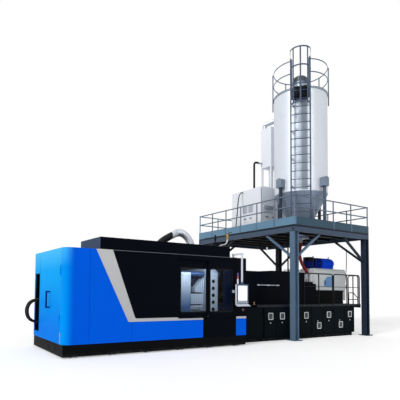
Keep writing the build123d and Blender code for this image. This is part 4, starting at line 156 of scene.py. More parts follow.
class MachineColours(bpy.types.PropertyGroup):
    """Colours of the finishes."""
    guard_blue: colour("Guard blue", "Paint of the guard's front panels", 0, 99, 240)
    # Painted light: the guard's end has the front's paint, drawn lighter where light falls on it
    lit_end_blue: colour("End blue", "Painted light on the guard's end, low down", 0, 124, 232)
    # Painted light: the rounded corner, lighter than the front where it turns towards the light
    lit_corner_blue: colour("Azure", "Painted light on the guard's rounded corner", 0, 148, 240)
    # Painted sheen: the bright cyan top of the guard's end and corner
    top_sheen_blue: colour("Sky blue", "Painted sheen high on the guard's end and corner", 80, 194, 250)
    panel_black: colour("Panel black", "Paint of the black guard panels", 4, 8, 17)
    base_black: colour("Base black", "Paint of the welded base and of black tubes", 8, 9, 11)
    trim_silver: colour("Trim silver", "Brushed trim strip", 190, 191, 193)
    steel: colour("Machined steel", "Bare machined steel", 176, 179, 184)
    platen_grey: colour("Platen grey", "Paint of the platens and moulds", 208, 214, 224)
    frame_grey: colour("Frame grey", "Paint of hidden frames, and tie bars", 76, 102, 146)
    # Also the painted highlight: the pipe on the covers is drawn white for a glint
    enamel_white: colour("Enamel white", "White pole, knob and keys, and the covers' pipe drawn white for a glint", 214, 220, 232)
    console_grey: colour("Console grey", "Operator panel housing", 80, 88, 114)
    key_grey: colour("Key grey", "Keypad strip of the operator panel", 196, 203, 216)
    cabinet_charcoal: colour("Cabinet charcoal", "Control cabinets", 8, 16, 21)
    breather_white: colour("Breather white", "Plastic of the door breathers", 238, 242, 244)
    deck_charcoal: colour("Deck charcoal", "Walkway and platform plates", 22, 28, 36)
    drive_white: colour("Drive white", "Drive housing", 226, 231, 234)
    service_blue: colour("Service blue", "Service panel on the drive housing", 124, 170, 222)
    motor_blue: colour("Motor blue", "Drive motors", 0, 82, 238)
    platform_grey: colour("Platform grey", "Paint of the platform's posts and braces", 90, 114, 138)
    beam_grey: colour("Beam grey", "Paint of the platform's edge beams", 68, 84, 104)
    toe_grey: colour("Toe board grey", "Paint of the toe boards", 100, 136, 162)
    rail_slate: colour("Rail slate", "Paint of the railings and of the dryer's grips", 104, 118, 136)
    hopper_silver: colour("Hopper silver", "Sheet of the drying hopper", 220, 226, 235)
    # Painted shadow: the ladder's shadow on the hopper's sheet
    ladder_shadow_grey: colour("Hopper shade", "Painted shadow of the ladder on the hopper's sheet", 172, 182, 194)
    cone_grey: colour("Cone grey", "Lower cone of the hopper", 152, 168, 190)
    leg_grey: colour("Leg grey", "Hopper legs and boxed heads", 124, 138, 154)
    dryer_white: colour("Dryer white", "Dryer cabinet and filter box", 236, 240, 248)
    vent_grey: colour("Vent grey", "Grilles of the dryer", 186, 194, 206)
    duct_silver: colour("Duct silver", "Corrugated air ducts", 210, 217, 226)
    rubber_black: colour("Rubber black", "Hoses and window seals", 12, 12, 15)
    feed_red: colour("Feed red", "Feed hose between hopper and barrel", 120, 26, 32)
    stop_red: colour("Stop red", "Mushroom push button", 84, 14, 16)
    handle_navy: colour("Handle navy", "Bar handle of the end door", 8, 30, 110)
    receiver_grey: colour("Receiver grey", "Vacuum receiver on the hopper", 62, 68, 76)
    # Painted shade and painted shadow: the recess behind the mould blocks and the lines along the platform's
    # edges
    shade_navy: colour("Bay navy", "Painted shade behind the mould bay's blocks, painted shadow lines at the platform's edges", 18, 26, 48)
    slate: colour("Slate", "Left end of the roof hood", 62, 78, 106)


class MachineSizes(bpy.types.PropertyGroup):
    """Sizes of the fine pieces."""
    seal_width: length("Seal width", "Width of the window seals", 0.026)
    bolt_across: length("Bolt size", "Corner width of the hexagon bolt heads", 0.034)
    rib_pitch: length("Rib pitch", "Distance between duct corrugations", 0.046)
    rib_depth: length("Rib depth", "Depth of the duct corrugations", 0.011)
    hose_rib_pitch: length("Hose rib pitch", "Distance between hose ribs", 0.030)
    fin_count: IntProperty(name="Motor fins", description="Cooling fins round a motor",
                           default=32, min=8)
    slat_count: IntProperty(name="Breather slats", description="Slats in each door breather",
                            default=7, min=2)


class StageSettings(bpy.types.PropertyGroup):
    """Camera and light."""
    lens: FloatProperty(name="Lens", description="Focal length in millimetres", default=37.84)
    sky: FloatProperty(name="Sky light", description="Light from all round", default=0.42)
    key: FloatProperty(name="Key light", description="Soft lamp from the clamp end", default=1.7)
    fill: FloatProperty(name="Fill light", description="Soft lamp from the operator's side", default=0.4)
    bay: FloatProperty(name="Bay light", description="Lamp inside the mould bay, in watts", default=10.0)


# Node building

def node(tree, kind, inputs=(), **settings):
    """Add a shader node, set its options, and give each input a value or a link."""
    made = tree.nodes.new("ShaderNode" + kind)
    for key, value in settings.items():
        setattr(made, key, value)
    for key, value in dict(inputs).items():
        if isinstance(value, bpy.types.NodeSocket):
            tree.links.new(value, made.inputs[key])
        else:
            made.inputs[key].default_value = value
    return made


def new_group(title, inputs, outputs):
    """An empty shader node group with named sockets, and its two end nodes."""
    tree = bpy.data.node_groups.new(title, "ShaderNodeTree")
    for name, kind, value in inputs:
        socket = tree.interface.new_socket(name=name, in_out="INPUT", socket_type="NodeSocket" + kind)
        socket.default_value = value
    for name, kind in outputs:
        tree.interface.new_socket(name=name, in_out="OUTPUT", socket_type="NodeSocket" + kind)
    return tree, tree.nodes.new("NodeGroupInput").outputs, tree.nodes.new("NodeGroupOutput").inputs


def noise(tree, place, scale, detail=3.0, rough=0.55):
    """Value of a noise pattern at a place."""
    return node(tree, "TexNoise", {"Vector": place, "Scale": scale, "Detail": detail,
                                   "Roughness": rough}).outputs[0]


def ranged(tree, value, low, high, to_low, to_high):
    """Value carried from one range to another, and held at its ends."""
    return node(tree, "MapRange", {"Value": value, "From Min": low, "From Max": high,
                                   "To Min": to_low, "To Max": to_high}).outputs[0]


def math_node(tree, operation, first, second=0.0):
    """Result of one sum on two values."""
    return node(tree, "Math", {0: first, 1: second}, operation=operation).outputs[0]


def mixed(tree, share, first, second):
    """Colour between two colours."""
    return node(tree, "Mix", {0: share, 6: first, 7: second}, data_type="RGBA").outputs[2]


SKIN_INPUTS = [("Colour", "Color", (0.5, 0.5, 0.5, 1)), ("Roughness", "Float", 0.4),
               ("Spread", "Float", 0.06), ("Tone", "Float", 0.05)]
SKIN_OUTPUTS = [("Colour", "Color"), ("Roughness", "Float"), ("Height", "Float")]
EVEN_NOISE = (0.3, 0.7)
FULL_SWING = (-1.0, 1.0)


def new_skin(title, inputs=SKIN_INPUTS):
    """An empty skin group, its end nodes, and the place on the object that its patterns read."""
    tree, given, out = new_group(title, inputs, SKIN_OUTPUTS)
    return tree, given, out, node(tree, "TexCoord").outputs["Object"]


def toned(tree, given, pattern):
    """The skin's colour, darker by its tone where a pattern is low and lighter where it is high."""
    low = math_node(tree, "SUBTRACT", 1.0, given["Tone"])
    high = math_node(tree, "ADD", 1.0, given["Tone"])
    tone = ranged(tree, pattern, *EVEN_NOISE, low, high)
    return node(tree, "HueSaturation", {"Value": tone, "Color": given["Colour"]}).outputs[0]


def end_skin(tree, given, out, shade, swing, height):
    """The skin with its outputs linked; its roughness swings by its spread."""
    spread = math_node(tree, "MULTIPLY", given["Spread"], swing)
    tree.links.new(shade, out["Colour"])
    tree.links.new(math_node(tree, "ADD", given["Roughness"], spread), out["Roughness"])
    tree.links.new(height, out["Height"])
    return tree


def sprayed_paint():
    """Group: broad tone drift, fine orange peel, rubbed patches, and floor dust on the lowest edge."""
    tree, given, out, place = new_skin("sprayed paint")
    patch = noise(tree, place, 5.0, 5.0, 0.65)
    peel = noise(tree, place, 340.0, 1.0)
    shade = toned(tree, given, noise(tree, place, 0.6))
    height = node(tree, "SeparateXYZ", {0: place}).outputs[2]
    near_floor = ranged(tree, height, 0.0, 0.12, 0.14, 0.0)
    dust = math_node(tree, "MULTIPLY", near_floor, ranged(tree, patch, 0.42, 0.68, 0.0, 1.0))
    return end_skin(tree, given, out, mixed(tree, dust, shade, DUST),
                    ranged(tree, patch, *EVEN_NOISE, *FULL_SWING), peel)


def brushed_grain():
    """Group: fine scratches, long along one axis and short across it, with a few smudges."""
    stretch = ("Stretch", "Vector", (4.0, 400.0, 400.0))
    tree, given, out, place = new_skin("brushed grain", SKIN_INPUTS + [stretch])
    along = node(tree, "VectorMath", {0: place, 1: given["Stretch"]}, operation="MULTIPLY").outputs[0]
    grain = noise(tree, along, 1.0, 4.0, 0.6)
    smudge = noise(tree, place, 3.5, 4.0, 0.6)
    swing = math_node(tree, "ADD", ranged(tree, grain, *EVEN_NOISE, -0.6, 0.6),
                      ranged(tree, smudge, 0.35, 0.7, -0.5, 0.8))
    return end_skin(tree, given, out, toned(tree, given, grain), swing, grain)


def moulded_grain():
    """Group: pebbled skin of moulded plastic and rubber, with dull handled patches."""
    tree, given, out, place = new_skin("moulded grain")
    pebble = node(tree, "TexVoronoi", {"Vector": place, "Scale": 620.0}).outputs["Distance"]
    patch = noise(tree, place, 9.0, 5.0, 0.6)
    return end_skin(tree, given, out, toned(tree, given, patch),
                    ranged(tree, patch, *EVEN_NOISE, *FULL_SWING), pebble)


def tread_plate():
    """Group: rolled tread lozenges, two crossed rows of short raised bars, scuffed on their tops."""
    tree, given, out, place = new_skin("tread plate")
    flat = node(tree, "SeparateXYZ", {0: place}).outputs
    bars = []
    for sign in (1.0, -1.0):
        aside = math_node(tree, "MULTIPLY", flat[1], sign)
        across = math_node(tree, "ADD", flat[0], aside)
        along = math_node(tree, "SUBTRACT", flat[0], aside)
        wide = math_node(tree, "SINE", math_node(tree, "MULTIPLY", across, 88.0))
        long = math_node(tree, "SINE", math_node(tree, "MULTIPLY", along, 44.0))
        bars.append(math_node(tree, "MULTIPLY", ranged(tree, wide, 0.72, 0.95, 0.0, 1.0),
                              ranged(tree, long, 0.1 * sign, 0.5 * sign, 0.0, 1.0)))
    raised = math_node(tree, "MAXIMUM", *bars)
    patch = noise(tree, place, 6.0, 5.0, 0.65)
    scuffed = math_node(tree, "MULTIPLY", raised, ranged(tree, patch, 0.4, 0.65, 0.0, 0.35))
    return end_skin(tree, given, out, mixed(tree, scuffed, given["Colour"], SCUFF),
                    ranged(tree, patch, *EVEN_NOISE, *FULL_SWING), raised)


def box_region():
    """Group: 1 inside a box and 0 outside it, from the largest of the three distances past its half size."""
    corners = [("Centre", "Vector", (0, 0, 0)), ("Half", "Vector", (1, 1, 1))]
    tree, given, out = new_group("box region", corners, [("Mask", "Float")])
    place = node(tree, "TexCoord").outputs["Object"]
    away = node(tree, "VectorMath", {0: place, 1: given["Centre"]}, operation="SUBTRACT").outputs[0]
    size = node(tree, "VectorMath", {0: away}, operation="ABSOLUTE").outputs[0]
    past = node(tree, "VectorMath", {0: size, 1: given["Half"]}, operation="SUBTRACT").outputs[0]
    parts = node(tree, "SeparateXYZ", {0: past}).outputs
    most = math_node(tree, "MAXIMUM", math_node(tree, "MAXIMUM", parts[0], parts[1]), parts[2])
    tree.links.new(math_node(tree, "LESS_THAN", most, 0.0), out["Mask"])
    return tree


GROUPS = {}
FINISHES = {}


def new_finish(title):
    """A new material, kept by its title: its node tree and its shader's inputs."""
    made = FINISHES[title] = bpy.data.materials.new(title)
    made.use_nodes = True
    return made.node_tree, made.node_tree.nodes["Principled BSDF"].inputs


def in_box(tree, low, high):
    """Mask of the box between two corners."""
    low, high = np.array(low) + CORNER, np.array(high) + CORNER
    return node(tree, "Group", {"Centre": (low + high) / 2, "Half": (high - low) / 2},
                node_tree=GROUPS["box_region"]).outputs[0]


def finish(title, skin, paint, rough, spread=0.06, tone=0.05, bump=0.05, depth=0.001, metallic=0.0,
           specular=0.5, stretch=None, drifts=(), regions=()):
    """A material: a skin group's colour, roughness and bump on one shader.

    Each drift blends to another colour between two places on one axis, and
    each region is a box of another colour and roughness.
    """
    tree, shader = new_finish(title)
    base, dull = (*paint, 1), rough
    for axis, start, end, other in drifts:
        place = node(tree, "TexCoord").outputs["Object"]
        along = node(tree, "SeparateXYZ", {0: place}).outputs[axis]
        share = ranged(tree, along, start + CORNER[axis], end + CORNER[axis], 0.0, 1.0)
        base = mixed(tree, share, base, (*other, 1))
    for low, high, other, other_rough in regions:
        mask = in_box(tree, low, high)
        base = mixed(tree, mask, base, (*other, 1))
        dull = node(tree, "Mix", {0: mask, 2: dull, 3: other_rough}).outputs[0]
    values = {"Colour": base, "Roughness": dull, "Spread": spread, "Tone": tone}
    if stretch:
        values["Stretch"] = stretch
    grain = node(tree, "Group", values, node_tree=GROUPS[skin]).outputs
    relief = node(tree, "Bump", {"Height": grain["Height"], "Strength": bump, "Distance": depth})
    tree.links.new(grain["Colour"], shader["Base Color"])
    tree.links.new(grain["Roughness"], shader["Roughness"])
    tree.links.new(relief.outputs[0], shader["Normal"])
    shader["Metallic"].default_value = metallic
    shader["Specular IOR Level"].default_value = specular


def clear_pane(title, tint):
    """Clear sheet of the gate windows."""
    tree, shader = new_finish(title)
    smear = noise(tree, node(tree, "TexCoord").outputs["Object"], 4.0, 5.0)
    tree.links.new(ranged(tree, smear, 0.4, 0.7, 0.01, 0.05), shader["Roughness"])
    shader["Base Color"].default_value = (*tint, 1)
    shader["Transmission Weight"].default_value = 1.0
    shader["IOR"].default_value = PANE_IOR


def lit_screen(title):
    """Bright operator screen: a pale page with a head bar, a foot bar, two tiles and a pale row."""
    tree, shader = new_finish(title)
    page = (0.86, 0.9, 0.94, 1)
    (x0, x1), (z0, z1) = SCREEN
    tiles = [((x0, x1), (z1 - 0.05, z1), (0.66, 0.76, 0.88, 1)),
             ((x0, x1), (z0, z0 + 0.045), (0.55, 0.6, 0.66, 1)),
             ((x0 + 0.02, x0 + 0.2), (z0 + 0.2, z1 - 0.09), (0.68, 0.77, 0.85, 1)),
             ((x0 + 0.225, x1 - 0.02), (z0 + 0.28, z1 - 0.09), (0.76, 0.85, 0.8, 1)),
             ((x0 + 0.02, x1 - 0.02), (z0 + 0.075, z0 + 0.165), (0.94, 0.95, 0.96, 1))]
    for (left, right), (bottom, top), tint in tiles:
        mask = in_box(tree, (left, -0.3, bottom), (right, -0.25, top))
        page = mixed(tree, mask, page, tint)
    tree.links.new(page, shader["Base Color"])
    tree.links.new(page, shader["Emission Color"])
    shader["Emission Strength"].default_value = 0.55
    shader["Roughness"].default_value = 0.12


# Shapes: each is a grid of points, rows by columns, whose end rows close to a point

def outline(width, height, radius, steps=3):
    """Closed rounded rectangle: four quarter circles about the corner centres, first point repeated."""
    radius = max(min(radius, width / 2, height / 2), 1e-5)
    turn = np.radians(np.arange(4)[:, None] * 90 + np.linspace(0, 90, steps + 1)[None, :])
    side = np.array(((1, 1), (-1, 1), (-1, -1), (1, -1)))[:, None, :]
    centre = side * (width / 2 - radius, height / 2 - radius)
    points = (centre + radius * np.stack([np.cos(turn), np.sin(turn)], -1)).reshape(-1, 2)
    return np.concatenate([points, points[:1]])


def circle(radius, count):
    """Closed circle, first point repeated."""
    turn = np.linspace(0, 2 * math.pi, count + 1)
    return radius * np.stack([np.cos(turn), np.sin(turn)], -1)


def placed(flat, heights, centre, facing):
    """Rings of flat points lifted to heights along the facing's normal."""
    across, up = (np.array(axis, float) for axis in facing)
    out = np.cross(across, up)
    flat = np.asarray(flat)
    return (np.array(centre) + flat[..., :1] * across + flat[..., 1:] * up
            + np.asarray(heights)[:, None, None] * out)


def pad(centre, size, rise, facing, radius=0.0, edge=0.0, steps=3):
    """Closed plate: a rounded rectangle raised along its normal, its front edge rounded in two steps."""
    width, height = size
    edge = edge or rise * 0.2
    inner = 0.3 * edge
    full = outline(width, height, radius, steps)
    rings = [full * 0, full, full,
             outline(width - 2 * inner, height - 2 * inner, radius - inner, steps),
             outline(width - 2 * edge, height - 2 * edge, radius - edge, steps),
             full * 0]
    heights = (0, 0, rise - edge, rise - inner, rise, rise)
    return placed(np.stack(rings), heights, centre, facing)


def box(low, high, edge=0.004):
    """Closed block between two corners with eased upper edges."""
    low, high = np.array(low, float), np.array(high, float)
    middle = (low + high) / 2
    return pad((middle[0], middle[1], low[2]), (high[0] - low[0], high[1] - low[1]), high[2] - low[2],
               TOP, edge, edge, 1)


def turned(centre, facing, profile, sides=24):
    """Lathe: a profile of radius and height turned about the facing's normal."""
    profile = np.array(profile, float)
    rings = profile[:, 0][:, None, None] * circle(1.0, sides)[None]
    return placed(rings, profile[:, 1], centre, facing)


def bolt(centre, facing, across):
    """Hexagon bolt head on a washer."""
    head, washer, rise = across * 0.5, across * 0.78, across * 0.36
    disc = ((0, 0), (washer, 0), (washer, rise * 0.22), (0, rise * 0.22))
    hexagon = ((0, 0), (head, 0), (head, rise * 1.1), (head * 0.82, rise * 1.3), (0, rise * 1.3))
    return [turned(centre, facing, disc, 12), turned(centre, facing, hexagon, 6)]


def foot_bolts(spots, z, reach, across):
    """Four bolts on each square foot plate, at its corners."""
    return [grid for x, y in spots for side in (-reach, reach) for depth in (-reach, reach)
            for grid in bolt((x + side, y + depth, z), TOP, across)]


def carried(path, profile, up, swell=1.0, closed=False):
    """Sweep: a flat profile carried square to a path, its sides set by a fixed upright direction."""
    path = np.asarray(path, float)
    if closed:
        run = np.roll(path[:-1], -1, 0) - np.roll(path[:-1], 1, 0)
        run = np.concatenate([run, run[:1]])
    else:
        run = np.gradient(path, axis=0)
    run /= np.linalg.norm(run, axis=1, keepdims=True)
    side = np.cross(run, np.array(up, float))
    side /= np.linalg.norm(side, axis=1, keepdims=True)
    top = np.cross(side, run)
    scale = np.broadcast_to(np.asarray(swell, float), (len(path),))[:, None, None]
    flat = profile[None, :, :1] * side[:, None] + profile[None, :, 1:] * top[:, None]
    grid = path[:, None] + scale * flat
    if closed:
        return grid
    ends = np.repeat(path[[0, -1]][:, None], grid.shape[1], 1)
    return np.concatenate([ends[:1], grid, ends[1:]])


def linked(title, data):
    """A new object, put in the scene."""
    made = bpy.data.objects.new(title, data)
    bpy.context.scene.collection.objects.link(made)
    return made


def smooth_line(points, steps=10):
    """Points on the smooth spline that has the given points as its controls."""
    curve = bpy.data.curves.new("line", "CURVE")
    curve.dimensions = "3D"
    spline = curve.splines.new("NURBS")
    spline.points.add(len(points) - 1)
    spline.points.foreach_set("co", np.c_[np.array(points, float), np.ones(len(points))].ravel())
    spline.order_u = 3
    spline.use_endpoint_u = True
    spline.resolution_u = steps
    holder = linked("line", curve)
    mesh = bpy.data.meshes.new_from_object(holder)
    line = np.zeros(len(mesh.vertices) * 3)
    mesh.vertices.foreach_get("co", line)
    bpy.data.objects.remove(holder)
    bpy.data.curves.remove(curve)
    bpy.data.meshes.remove(mesh)
    return line.reshape(-1, 3)


def travelled(line):
    """Distance along a line at each of its points."""
    return np.concatenate([[0], np.cumsum(np.linalg.norm(np.diff(line, axis=0), axis=1))])


def even(line, step):
    """The same line with points at even distances."""
    far = travelled(line)
    marks = np.linspace(0, far[-1], max(int(far[-1] / step), 2) + 1)
    return np.stack([np.interp(marks, far, line[:, axis]) for axis in range(3)], -1), marks


def ribbed(route, radius, pitch, depth, up, sides=20, steps=14, cuts=6):
    """Corrugated tube: a circle carried along a smooth line, its radius rising and falling each pitch.

    Gives the tube, its line and the distance along that.
    """
    line, marks = even(smooth_line(route, steps), pitch / cuts)
    swell = 1 - depth / radius * (0.5 - 0.5 * np.cos(2 * math.pi * marks / pitch))
    return carried(line, circle(radius, sides), up, swell), line, marks


def rod(start, end, radius, sides=14):
    """Round bar between two points."""
    run = np.array(end, float) - np.array(start, float)
    far = np.linalg.norm(run)
    across = np.cross(run, Z_AXIS if abs(run[2]) < 0.9 * far else X_AXIS)
    across /= np.linalg.norm(across)
    up = np.cross(run / far, across)
    ease = min(radius * 0.2, far * 0.1)
    profile = ((0, 0), (radius, 0), (radius, far - ease), (radius - ease, far), (0, far))
    return turned(start, (across, up), profile, sides)


def hoop(centre, size, radius, facing, width, rise):
    """Frame: a low rounded profile carried round a rounded rectangle."""
    across, up = (np.array(axis, float) for axis in facing)
    out = np.cross(across, up)
    flat = outline(*size, radius, 5)
    path = np.array(centre) + flat[:, :1] * across + flat[:, 1:] * up
    profile = outline(width, rise * 2, rise * 0.8, 2)
    return carried(path, profile, out, closed=True)


def ring(centre, radius, width, rise, sides=96):
    """Bead: a low rounded profile carried round a level circle."""
    flat = circle(radius, sides)
    path = np.array(centre) + np.c_[flat, np.zeros(len(flat))]
    return carried(path, outline(rise, width, rise * 0.4, 2), Z_AXIS, closed=True)


def pipe(points, radius, up, sides=14):
    """Bent pipe: a circle carried along a smooth line."""
    return carried(smooth_line(points), circle(radius, sides), up)


def slats(centre, size, count, rise, facing):
    """Louvre: evenly spaced bars up a rectangle."""
    width, height = size
    bar = height / count * 0.5
    up = np.array(facing[1], float)
    return [pad(np.array(centre) + up * step, (width, bar), rise, facing, bar * 0.3)
            for step in np.linspace(bar - height / 2, height / 2 - bar, count)]


def grille(centre, size, opening, count, facing):
    """Vent: a low plate with a louvre on it."""
    face = np.array(centre) + np.cross(*facing) * 0.004
    return [pad(centre, size, 0.006, facing, 0.010)] + slats(face, opening, count, 0.008, facing)


def grip(centre, facing):
    """Door pull: a low pad with round ends."""
    return pad(centre, (0.130, 0.044), 0.018, facing, 0.020, 0.006)


def grid_quads(rows, columns):
    """Corner numbers of the quads between the rows and columns of a grid."""
    number = np.arange(rows * columns).reshape(rows, columns)
    corners = (number[:-1, :-1], number[:-1, 1:], number[1:, 1:], number[1:, :-1])
    return np.stack(corners, -1).reshape(-1, 4)


def piece(title, grids, surface, body, sharp=32.0):
    """One mesh from many grids: seams and poles merged, faces turned outwards, then set on its body."""
    counts = [grid.shape[0] * grid.shape[1] for grid in grids]
    starts = np.concatenate([[0], np.cumsum(counts[:-1])]).astype(int)
    points = np.concatenate([grid.reshape(-1, 3) for grid in grids])
    quads = np.concatenate([grid_quads(*grid.shape[:2]) + start for grid, start in zip(grids, starts)])
    mesh = bpy.data.meshes.new(title)
    mesh.from_pydata(points + CORNER, [], quads)
    work = bmesh.new()
    work.from_mesh(mesh)
    bmesh.ops.remove_doubles(work, verts=work.verts, dist=2e-6)
    bmesh.ops.dissolve_degenerate(work, edges=work.edges, dist=1e-6)
    bmesh.ops.recalc_face_normals(work, faces=work.faces)
    work.to_mesh(mesh)
    work.free()
    mesh.polygons.foreach_set("use_smooth", np.ones(len(mesh.polygons), bool))
    mesh.set_sharp_from_angle(angle=math.radians(sharp))
    made = linked(title, mesh)
    mesh.materials.append(FINISHES[surface])
    if body:
        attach(made, body)
    return made


# Skins of the finishes, and values that several finishes share

PAINT, METAL, PLASTIC, TREAD = "sprayed_paint", "brushed_grain", "moulded_grain", "tread_plate"
WORN = {"spread": 0.08, "tone": 0.06, "bump": 0.08}
PEBBLED = {"bump": 0.1, "depth": 0.0006}
SHEET = {"spread": 0.06, "tone": 0.03, "bump": 0.03, "stretch": (60.0, 60.0, 1.2)}
STRIP_GRAIN = (3.0, 500.0, 420.0)
SMALL_GRAIN = (90.0, 90.0, 90.0)


# Operators

class PREFORM_OT_finishes(bpy.types.Operator):
    """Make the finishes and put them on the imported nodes"""
    bl_idname = "preform.finishes"
    bl_label = "Finishes"

    def execute(self, context):
        tint = context.scene.machine_colours
        for make in (sprayed_paint, brushed_grain, moulded_grain, tread_plate, box_region):
            GROUPS[make.__name__] = make()
        self.guard(tint)
        self.bay(tint)
        self.injection_side(tint)
        self.platform(tint)
        self.tower(tint)
        self.small_pieces(tint)
        for surface, names in NODE_FINISHES.items():
            for name in names.split():
                mesh = NODES[name].data
                mesh.materials.clear()
                mesh.materials.append(FINISHES[surface])
        return {"FINISHED"}

    def guard(self, tint):
        """Guard, its base and the operator panel."""
        finish("guard blue", PAINT, tint.guard_blue, 0.36, tone=0.03, specular=0.02)
        # Painted light: the corner fades from its lit blue to the front's blue round the bend, with a painted
        # sheen high up
        finish("lit corner blue", PAINT, tint.lit_corner_blue, 0.36, tone=0.03, specular=0.015,
               drifts=((2, 2.1, 2.8, tint.top_sheen_blue), (0, 0.03, 0.25, tint.guard_blue)))
        # Painted light: the end drawn lighter than the front and lighter towards the top, with a painted
        # sheen at the top
        finish("lit end blue", PAINT, tint.lit_end_blue, 0.34, tone=0.03, specular=0.004,
               drifts=((2, 0.6, 1.9, LIT_END_MIDDLE), (2, 2.05, 2.6, tint.top_sheen_blue)),
               regions=(((-0.2, 0.9, 1.05), (-0.0005, 1.2, 1.6), tint.handle_navy, 0.3),))
        finish("black panel", PAINT, tint.panel_black, 0.38, specular=0.03, regions=(
            ((4.8, -0.12, 1.4), (5.1, -0.0345, 1.7), tint.enamel_white, 0.2),
            ((5.3, -0.05, 0.9), (5.5, -0.0005, 1.2), BUTTON_GREY, 0.35),
            # Painted light: the bay's black side wall drawn navy for the bluish light on it
            ((5.47, 0.15, 0.5), (5.499, 2.5, 2.4), LIT_BAY_WALL, 0.4)))
        finish("hood black", PAINT, tint.panel_black, 0.42, specular=0.03, regions=(
            ((0.85, 0.0, 2.5), (0.895, 1.5, 2.9), tint.slate, 0.45),))
        finish("base black", PAINT, tint.base_black, 0.5, 0.08, specular=0.05)
        finish("trim silver", METAL, tint.trim_silver, 0.36, 0.06, 0.08, 0.08, metallic=0.8,
               stretch=STRIP_GRAIN)
        finish("edge strip", METAL, linear(112, 120, 132), 0.4, 0.06, metallic=0.5, stretch=STRIP_GRAIN)
        finish("enamel white", PAINT, tint.enamel_white, 0.28, 0.04, 0.02, specular=0.3)
        finish("console grey", PLASTIC, tint.console_grey, 0.45, bump=0.12, depth=0.0006, specular=0.2,
               regions=(((4.8, -0.5, 1.1), (5.5, -0.2, 1.27), tint.key_grey, 0.4),
                        ((4.8, -0.5, 1.1), (4.9065, -0.2, 1.79), tint.key_grey, 0.4)))
        finish("stop red", PLASTIC, tint.stop_red, 0.35, bump=0.03, specular=0.2)
        clear_pane("clear pane", linear(222, 232, 240))
        lit_screen("lit screen")

    def bay(self, tint):
        """Mould bay behind the windows."""
        finish("machined steel", METAL, tint.steel, 0.3, 0.08, 0.08, 0.06, metallic=0.9,
               stretch=(300.0, 300.0, 12.0))
        finish("bar steel", METAL, tint.frame_grey, 0.35, 0.08, 0.08, 0.06, metallic=0.5,
               stretch=(12.0, 300.0, 300.0))
        finish("frame grey", PAINT, tint.frame_grey, 0.5, specular=0.2)
        finish("platen grey", PAINT, tint.platen_grey, 0.42, specular=0.3)
        # Painted shade: the mould face behind the service blocks drawn navy
        finish("mould grey", PAINT, tint.platen_grey, 0.42, specular=0.3, regions=(
            ((3.89, 0.80, 1.00), (4.47, 0.83, 2.02), tint.shade_navy, 0.45),))
        # Painted shade: the side plate darker and bluer low down, lightening to platen grey towards the lit
        # top
        finish("side plate", PAINT, linear(92, 120, 168), 0.42, specular=0.3,
               drifts=((2, 1.15, 1.75, tint.platen_grey),))

    def injection_side(self, tint):
        """Cabinets, walkway, barrel and drive."""
        finish("cabinet charcoal", PAINT, tint.cabinet_charcoal, 0.42, 0.07, 0.06, 0.12, specular=0.03)
        finish("breather white", PLASTIC, tint.breather_white, 0.5, **PEBBLED)
        finish("slat grey", PLASTIC, linear(96, 104, 110), 0.5, **PEBBLED)
        finish("deck charcoal", TREAD, tint.deck_charcoal, 0.5, 0.1, bump=0.5, depth=0.003, specular=0.15)
        finish("black tube", PAINT, tint.base_black, 0.36, specular=0.12)
        finish("injection black", PAINT, tint.base_black, 0.45, specular=0.05, regions=(
            ((9.55, 1.1, 1.952), (9.85, 1.5, 2.28), tint.steel, 0.3),))
        finish("drive white", PAINT, tint.drive_white, 0.4, 0.05, 0.03, specular=0.05, regions=(
            ((10.35, 1.0, 1.75), (10.9, 1.0995, 2.2), tint.service_blue, 0.3),
            ((9.8, 1.1, 1.2), (11.599, 1.8, 1.6545), tint.base_black, 0.5)))
        finish("motor blue", PAINT, tint.motor_blue, 0.34, specular=0.06, regions=(
            ((9.7, 1.2, 2.4), (10.15, 1.65, 2.736), DRUM_NAVY, 0.34),
            # Painted shade on the left part of the drive motor
            ((10.08, 1.2, 2.4), (10.50, 1.65, 2.95), SHADED_MOTOR_NAVY, 0.34),
            ((9.7, 1.2, 2.736), (10.15, 1.65, 2.9), tint.panel_black, 0.42)))

    def platform(self, tint):
        """Platform, its railing and the ladder."""
        finish("platform grey", PAINT, tint.platform_grey, 0.42, **WORN, specular=0.15, regions=(
            ((7.0, -0.5, 3.56), (12.5, 6.0, 3.75), tint.beam_grey, 0.45),
            # Painted shade: the beams under the deck, behind its front edge, drawn black
            ((7.79, 0.9, 3.6), (11.64, 5.2, 3.75), tint.base_black, 0.5),
            # Painted shadow: a dark line along the top of the beams, under the deck's edge
            ((7.0, -0.5, 3.725), (12.5, 6.0, 3.76), tint.shade_navy, 0.45),
            # Painted shade: rear posts and braces, and the far front post, drawn darker than the near ones
            ((7.0, 3.0, 0.0), (12.5, 6.0, 3.56), SHADED_REAR_POSTS, 0.45),
            ((10.2, -0.5, 0.0), (12.5, 3.0, 3.56), SHADED_FAR_POST, 0.45)))
        finish("toe grey", PAINT, tint.toe_grey, 0.42, **WORN, specular=0.2, regions=(
            ((7.0, -0.5, DECK_TOP + 0.29), (14.0, 5.0, DECK_TOP + 1.2), tint.rail_slate, 0.4),
            # Painted shade on the front toe boards, which face away from the light
            ((7.8, -0.5, DECK_TOP - 0.5), (14.0, 0.9, DECK_TOP + 0.29), SHADED_FRONT_TOE, 0.4),
            # Painted shadow: a dark line at the foot of the toe boards
            ((7.0, -0.5, DECK_TOP - 0.5), (14.0, 5.0, DECK_TOP + 0.022), tint.shade_navy, 0.45)))
        finish("rail slate", PAINT, tint.rail_slate, 0.42, **WORN, specular=0.2)
        finish("ladder slate", PAINT, linear(72, 86, 108), 0.42, **WORN, specular=0.2)
        finish("landing slate", PAINT, linear(10, 14, 22), 0.45, specular=0.1)

